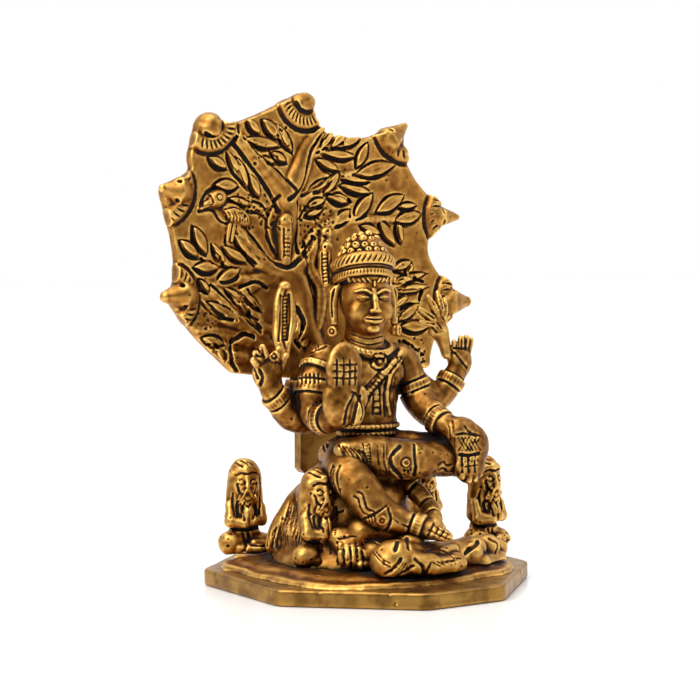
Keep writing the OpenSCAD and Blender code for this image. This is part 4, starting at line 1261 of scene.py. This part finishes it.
def makeDwarf():
    clay = Clay((-23, -43, 7.2), (39, -17, 23), 0.29)
    clay.egg((-13.6, -32.4, 11.6), (6.6, 6.2, 6.4), soft=0)  # shoulder and bowed back
    clay.rod([(-10, -32.6, 12.2, 5.2), (2, -31, 11.2, 4.4), (12, -29, 10.6, 4.4), (17, -27.6, 11, 4.8)], 2)
    clay.egg((-5.6, -30.6, 16), (4.4, 3.4, 2.9), soft=0.6)  # fist under the foot
    clay.rod([(-9, -36.4, 11.2, 3.5), (-3.4, -37.6, 10.6, 3.2)], 1)  # upper arm
    clay.rod([(-3, -37.8, 10.0, 3.0), (3.6, -37.6, 9.8, 2.9), (7.4, -37, 9.8, 2.4)], 0.5)
    clay.egg((6.4, -36.4, 10.8), (3.6, 2.4, 2.4), soft=0.5)
    clay.rod([(3, -34.4, 12.6, 2.2), (8, -33.2, 13.2, 1.8)], 0.5)
    clay.egg((18.4, -29, 11.8), (4.8, 3.6, 4.0), turned((1, 0.1, 0.3)), soft=0.4)  # near knee
    clay.egg((16.6, -31.6, 11.4), (3.4, 2.6, 3.2), soft=0.4)
    clay.egg((25.4, -26.6, 11.6), (4.8, 3.6, 4.2), soft=0.4)  # far knee
    clay.egg((31.6, -24, 10.4), (3.6, 3.0, 3.0), soft=0.5)
    clay.rod([(9, -30, 9.6, 2.6), (20, -32, 8.4, 2.2), (30, -27.4, 8.2, 2.2)], 1)
    # slits between the fingers of the fist
    for a, z, turn in ((8.0, 17.0, 70), (11.2, 17.0, 100), (16.6, 17.2, 110)):
        run = np.array((math.cos(math.radians(turn)), math.sin(math.radians(turn)))) * 1.3
        clay.line([(a - run[0], z - run[1]), (a, z), (a + run[0], z + run[1])], 0.6)
    # straps on the back and upper arm
    for rise in (0, -1.1):
        clay.line([(-5.4, 18 + rise), (0, 16.6 + rise), (3.6, 13.4 + rise), (6, 12.2 + rise)], 0.28)
    clay.line([(9.2, 13.2), (6.8, 10.4), (4.6, 8.8)], 0.55)
    clay.line([(12.8, 11), (9.8, 9.2), (7.4, 7.4)], 0.5)
    for k in range(5):
        clay.line([(9.2 + 0.7 * k, 12.6 - 0.35 * k), (7.8 + 0.75 * k, 10.6 - 0.5 * k)], 0.2)
    clay.line([(13.4, 13), (15.6, 10.6), (15.4, 7.6), (14.4, 6.8)], 0.6)
    clay.line([(18, 11.6), (16.8, 9), (15.4, 7)], 0.5)
    for k in range(5):
        clay.line([(18.4 + 1.4 * k, 11.8 - 0.1 * k), (20.6 + 1.4 * k, 10.4 + 0.3 * k)], 0.32)
    clay.line([(16.6, 14), (20, 14.8), (24, 12.6), (27, 11.6)], 0.35)
    clay.line([(24.8, 12), (25.4, 10.6)], 0.3)
    # the dark hollow of each bent knee
    clay.line([(28.6, 11.6), (30.4, 13), (33, 14.6)], 0.8)
    clay.line([(36.8, 14.6), (39.4, 13), (38.6, 10.2)], 0.45)
    clay.line([(27.6, 15.6), (31, 16.6), (35, 15.6)], 0.4)
    clay.slab((-60, -60, 0), (60, 60, 7.9), cut=True)
    clay.roughen(0.05, 1.1)
    clay.pit(clay.low, (39, -17, 23), 70, 0.3)
    return clay


# ---- sages

sageLook = {
    "height": 29.7,
    "faces": {"sage_rear_left": 20, "sage_front_left": 2, "sage_rear_right": -4, "sage_front_right": -2},
    "cell": 0.26,
}


def makeSage(node):
    # faces holds how many degrees each looks towards the figure's right
    low, high = nodeBox(node)
    pegs = nodePoints(node)
    foot = pegs[pegs[:, 2] < low[2] + 0.2][:, :2].mean(0)      # the peg's centre is the sage's own
    facing = sageLook["faces"][node]
    right, away = lookAxes(facing)
    origin = np.array([foot[0], foot[1], high[2] - sageLook["height"]])
    middle = float(origin @ right)

    def at(x, y, z, *radius):
        return (*(origin + x * right + y * away + np.array([0, 0, z])), *radius)

    def mark(path, radius, **more):
        clay.line([(middle + x, origin[2] + z) for x, z in path], radius, facing, **more)
    axes = [right, away, np.array([0, 0, 1.0])]
    clay = Clay(origin + (-11, -11, -0.8), origin + (11, 8, 31), sageLook["cell"])
    clay.egg(at(0, 0.5, 23.0), (5.3, 4.5, 6.7), axes, soft=0)  # long hair hangs like a hood
    clay.egg(at(0, 0.5, 17), (5.8, 4.4, 9.4), axes, soft=1.5)
    clay.egg(at(0, 0.4, 11.6), (6.2, 4.3, 4.8), axes, soft=1.5)
    clay.egg(at(0, 0.8, 6.6), (4.9, 4.0, 4.5), axes, soft=0.5)
    clay.egg(at(-4.1, -0.8, 3.3), (4.6, 3.9, 4.0), axes, soft=1.2)  # knees and a crossed shin
    clay.egg(at(4.7, -0.5, 2.9), (4.3, 3.6, 3.4), axes, soft=1.2)
    clay.rod([at(-2.4, -3.6, 1.9, 1.7), at(3.8, -4.4, 1.8, 1.6)], 0.5)
    clay.rod([at(2.2, -3.8, 3.6, 1.3), at(6.4, -3.0, 3.0, 1.5)], 0.4)
    clay.egg(at(0, -2.5, 21.6), (3.7, 2.9, 4.6), axes, soft=0.8)  # face
    clay.rod([at(-3.6, -2.0, 25.2, 0.8), at(0, -3.5, 26.6, 0.9), at(3.3, -2.2, 25.4, 0.8)], 1.8)  # hood edge
    clay.rod([at(0, -4.5, 24.2, 0.6), at(0, -5.4, 21.4, 0.85)], 0.4)
    for s in (-1, 1):
        clay.leaf(at(1.75 * s, -4.5, 22.7), (1.3, 0.7, 0.75), [right, -away, axes[2]], 0.1)
        clay.rod([at(0.3 * s, -5.3, 20.3, 0.9), at(1.8 * s, -4.9, 18.6, 0.85),
                  at(2.6 * s, -4.2, 16.6, 0.6)], 0.3)
    clay.egg(at(0, -4.2, 17.2), (2.0, 1.5, 3.4), axes, soft=0.3)  # beard
    clay.egg(at(0.3, -4.6, 12.4), (1.8, 1.5, 3.4), axes, soft=0.3)  # joined hands
    clay.rod([at(-4.9, -1.4, 15, 1.5), at(-4.9, -2.8, 10.4, 1.8), at(-0.9, -4.9, 9.8, 1.45)], 1.0)
    clay.rod([at(4.9, -1.4, 14.4, 1.4), at(4.7, -2.8, 10.4, 1.6), at(1.9, -4.9, 10.4, 1.3)], 1.0)
    mark([(-3.4, 24.6), (-1.8, 25.4), (0, 25.1), (1.8, 25.5), (3.8, 24.9)], 0.34)
    for s in (-1, 1):
        mark([(0.8 * s, 22.6), (1.8 * s, 23.6), (2.9 * s, 22.7)], 0.3)
        mark([(0.8 * s, 22.4), (1.8 * s, 21.8), (2.9 * s, 22.3)], 0.26)
        mark([(3.2 * s, 22), (2.6 * s, 19.8), (1.9 * s, 18.6)], 0.5)
        mark([(0.9 * s, 21), (1.6 * s, 19.4), (2.6 * s, 17.2)], 0.35)
    mark([(4.2, 24.6), (4.6, 21), (4.4, 16), (3.8, 12.6)], 0.45)
    mark([(-4.2, 19), (-4.4, 16), (-3.9, 12.4)], 0.4)
    for s in (-1, 1):
        mark([(2.8 * s, 16.8), (3.1 * s, 14), (2.7 * s, 12)], 0.5)
    for z in (17.4, 15.8):
        mark([(-0.9, z), (0, z - 0.8), (0.9, z)], 0.3)
    mark([(-0.9, 16.6), (-1.5, 14.6), (-1.2, 11)], 0.4)
    mark([(2.0, 15.6), (2.2, 13), (1.6, 11.4)], 0.4)
    mark([(0.3, 15), (0.4, 10)], 0.26)
    mark([(-4.4, 8.3), (-2, 7.8), (2, 7.8), (4.8, 8.1)], 0.7)
    mark([(-1.2, 6.4), (-0.6, 3.6), (-1.0, 1.2)], 0.5)
    mark([(0.6, 6.4), (1.0, 4.6)], 0.45)
    mark([(1.4, 3.0), (4, 2.6), (6.6, 2.4)], 0.45)
    for x, z in ((-2.2, 27.9), (-0.4, 28.6), (1.4, 28.2)):  # hair combed back from the brow
        mark([(x - 0.9, z + 0.5), (x + 0.9, z - 0.7)], 0.32)
    for k in range(-3, 4):
        clay.line([(-origin @ right + 1.5 * k, origin[2] + 25), (-origin @ right + 1.4 * k, origin[2] + 16),
                   (-origin @ right + 1.5 * k, origin[2] + 9)], 0.3, facing + 180)
    clay.slab(origin - (20, 20, 6), origin + (20, 20, -0.1), cut=True)
    clay.roughen(0.09, 0.8)
    clay.pit(clay.low, origin + (11, 8, 31), 60, 0.34)
    clay.pit(origin - (11, 11, 0), origin + (11, 8, 9), 40, 0.4)
    return clay


# ---- ground and plinth


pegReach = 38       # mm from the middle; the ground's peg holes all lie within it


def makeGround():
    low, high = nodeBox("ground_bed")
    points = nodePoints("ground_bed")
    rim = outlineOf(points[(points[:, 2] < low[2] + 0.05)
                           & (np.hypot(points[:, 0], points[:, 1]) > pegReach)][:, :2])
    clay = Clay(low - (2, 2, 1.2), high + (2, 2, 1.4), 0.4)
    _, (x, y, z) = clay.window(clay.low, high + 2)
    away = -outlineDistance(rim, x[:, :, 0], y[:, :, 0])
    away = np.minimum(away - 0.5 + softNoise(away.shape, int(4.0 / clay.cell), 0.9), away)
    # a first terrace and a second that the castings stand on, both with soft worn edges
    def step(reach, width):
        return 0.5 + 0.5 * np.tanh((away - reach) / width)
    top = low[2] - 0.4 + 2.0 * step(0.8, 0.6) + 1.35 * step(4.8, 1.1)
    dents = softNoise(away.shape, int(2.4 / clay.cell), 0.10)
    top = np.minimum(top + dents * (away > 0), high[2] + 0.1)
    clay.fill(np.maximum(z - top[:, :, None], low[2] - 0.3 - z))
    clay.pit(clay.low, high + 2, 160, 0.4)
    return clay


def makePlinth():
    # eight filed sides with worn corners, the underside flat
    low, high = nodeBox("base_plate")
    points = nodePoints("base_plate")
    rim = outlineOf(points[points[:, 2] < low[2] + 0.05][:, :2])
    clay = Clay(low - 1.5, high + 1.5, 0.5)
    _, (x, y, z) = clay.window(clay.low, high + 3)
    flat = blurred(outlineDistance(rim, x[:, :, 0], y[:, :, 0]), 3)[:, :, None] + 0.25
    middle, half = (low[2] + high[2]) / 2, (high[2] - low[2]) / 2
    across = np.abs(z - middle) - half
    both = np.sqrt(np.maximum(flat + 0.7, 0) ** 2 + np.maximum(across + 0.7, 0) ** 2) - 0.7
    inner = np.minimum(np.maximum(flat + 0.7, across + 0.7), 0)
    clay.fill(both + inner)
    clay.field += softNoise(clay.field.shape, int(6 / clay.cell), 0.06) * (z > 1.0)
    clay.pit((low[0], low[1], 1.2), high + 1, 60, 0.45)
    return clay


# ---- stage


view = {
    "azimuth": quarterTurn,
    "pitch": 3.2,
    "distance": 598.0,
    "target": (-4.6, 3.1, 71.5),
    "lens": 100.0,
}


def makeCamera():
    a, p = math.radians(view["azimuth"]), math.radians(view["pitch"])
    back = Vector((-math.sin(a) * math.cos(p), -math.cos(a) * math.cos(p), math.sin(p)))
    data = bpy.data.cameras.new("camera")
    data.lens, data.sensor_width = view["lens"], 36.0
    data.clip_start, data.clip_end = 0.01, 50.0
    camera = bpy.data.objects.new("camera", data)
    camera.location = (Vector(view["target"]) + back * view["distance"]) * mm
    camera.rotation_euler = (-back).to_track_quat("-Z", "Y").to_euler()
    bpy.context.collection.objects.link(camera)
    bpy.context.scene.camera = camera


lamps = [
    # name, place in mm, size in mm, watts, colour
    ("keyLamp", (-520, -160, 420), 420, 2.5, "#fffaf2"),
    ("fillLamp", (420, -460, 320), 420, 0.8, "#ffffff"),
]


def makeLights():
    for name, place, size, power, tint in lamps:
        data = bpy.data.lights.new(name, "AREA")
        data.shape, data.size = "DISK", size * mm
        data.energy, data.color = power, colour(tint)[:3]
        lamp = bpy.data.objects.new(name, data)
        lamp.location = Vector(place) * mm
        aim = Vector((0, 0, 70)) * mm - lamp.location
        lamp.rotation_euler = aim.to_track_quat("-Z", "Y").to_euler()
        bpy.context.collection.objects.link(lamp)
    # a wide ceiling panel, as a sun with a broad disc so that it whitens the whole sheet evenly
    panel = bpy.data.lights.new("ceilingPanel", "SUN")
    panel.energy, panel.angle = 2.0, math.radians(70)
    ceiling = bpy.data.objects.new("ceilingPanel", panel)
    ceiling.rotation_euler = Vector((0.25, 0.15, -1)).to_track_quat("-Z", "Y").to_euler()
    bpy.context.collection.objects.link(ceiling)
    world = bpy.data.worlds.new("studio")
    bpy.context.scene.world = world
    world.use_nodes = True
    tree = world.node_tree
    # a bright white room behind the object and a dim one in front, which the brass reflects
    place = addNode(tree, "ShaderNodeTexCoord").outputs["Generated"]
    depth = addNode(tree, "ShaderNodeVectorMath", {"operation": "DOT_PRODUCT"},
                    {1: (0.5, 0.8, 0.3)}, {0: place}).outputs["Value"]
    shift = addNode(tree, "ShaderNodeMath", {"operation": "MULTIPLY_ADD"}, {1: 0.5, 2: 0.5}, {0: depth})
    room = addNode(tree, "ShaderNodeValToRGB", links={"Fac": shift.outputs["Value"]},
                   stops=[(0.2, 0.04), (0.5, 0.32), (0.76, 1.0)]).outputs["Color"]
    tree.links.new(room, tree.nodes["Background"].inputs["Color"])


def makeFloor():
    # smooth white acrylic sheet: nearly white with a faint reflection of the plinth
    half = 4000.0
    points = np.array([(-half, -half, 0), (half, -half, 0), (half, half, 0), (-half, half, 0)])
    floor = meshObject("floorSheet", points, np.array([[0, 1, 2, 3]]))
    material = bpy.data.materials.new("whiteSheet")
    material.use_nodes = True
    shader = material.node_tree.nodes["Principled BSDF"]
    shader.inputs["Base Color"].default_value = colour("#f6f6f6")
    shader.inputs["Roughness"].default_value = 0.22
    floor.data.materials.append(material)


bpy.context.scene.view_settings.view_transform = "Standard"
makeCamera()
makeLights()
makeFloor()
print("camera, lamps and floor are in")

# ---- putting it together

castings = {
    # piece: (what makes it, the CAD node it stands for)
    "treeCanopy": (makeCanopy, "tree_canopy"),
    "torsoCasting": (makeTorso, "torso"),
    "headCasting": (makeHead, "head"),
    "frontRightArm": (makeFrontRightArm, "front_right_arm"),
    "rearRightArm": (makeRearRightArm, "rear_right_arm"),
    "frontLeftArm": (makeFrontLeftArm, "front_left_arm"),
    "rearLeftArm": (makeRearLeftArm, "rear_left_arm"),
    "serpentLoop": (makeSerpentLoop, "serpent_loop"),
    "flameCasting": (makeFlame, "flame"),
    "crossedLeg": (makeCrossedLeg, "crossed_leg"),
    "loweredLeg": (makeLoweredLeg, "lowered_leg"),
    "sashEnd": (makeSashEnd, "sash_end"),
    "rockSeat": (makeRockSeat, "rock_seat"),
    "dwarfCasting": (makeDwarf, "dwarf"),
    "sageRearLeft": (lambda: makeSage("sage_rear_left"), "sage_rear_left"),
    "sageFrontLeft": (lambda: makeSage("sage_front_left"), "sage_front_left"),
    "sageRearRight": (lambda: makeSage("sage_rear_right"), "sage_rear_right"),
    "sageFrontRight": (lambda: makeSage("sage_front_right"), "sage_front_right"),
    "groundBed": (makeGround, "ground_bed"),
    "plinth": (makePlinth, "base_plate"),
}
figure = ["torsoCasting", "frontRightArm", "rearRightArm", "frontLeftArm", "rearLeftArm", "crossedLeg",
          "loweredLeg"]
finishes = {"headCasting": faceBrass, "rockSeat": rockBrass, **{name: grimeAndShadeBrass for name in figure}}
coarse = 0.6        # mm, the grid on which all castings are put together to find how enclosed each place is, for the tarnish that gathers there and the painted shade
wholeLow = np.array(cadBox[0]) / mm - 3
wholeCount = np.ceil((np.array(cadBox[1]) / mm + 3 - wholeLow) / coarse).astype(int) + 1
whole = np.zeros(wholeCount, np.float32)
made = {}
for name, (make, node) in castings.items():
    clay = make()
    first = np.maximum(np.ceil((clay.low - wholeLow) / coarse), 0).astype(int)
    clayHigh = clay.low + clay.cell * (np.array(clay.field.shape) - 1)
    last = np.minimum(np.floor((clayHigh - wholeLow) / coarse), wholeCount - 1).astype(int)
    places = [wholeLow[k] + coarse * np.arange(first[k], last[k] + 1) for k in range(3)]
    picks = [np.rint((v - low) / clay.cell).astype(int) for v, low in zip(places, clay.low)]
    solid = np.clip(0.5 - clay.field[np.ix_(*picks)] / coarse, 0, 1)
    part = tuple(slice(a, b + 1) for a, b in zip(first, last))
    whole[part] = np.maximum(whole[part], solid)
    made[name] = (clay.mesh(name), node)
    del clay
near = np.maximum(blurred(whole, 2), blurred(whole, 6) + 0.03)       # how enclosed, in corners and in whole hollows: it drives painted shade there
for name, (piece, node) in made.items():
    # the recess mark carries painted shade, with gathered tarnish, into each brass material
    addMark(piece, "recess", sampled(near, (meshPoints(piece) / mm - wholeLow) / coarse))
    if node == "base_plate":
        finishPiece(piece, [node], filed)
    else:
        finishPiece(piece, [node], finishes.get(name, antiqued))

for node in ("canopy_strap", "back_lug", "strap_rivets"):
    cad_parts[node].data.materials.clear()
    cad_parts[node].data.materials.append(filed)
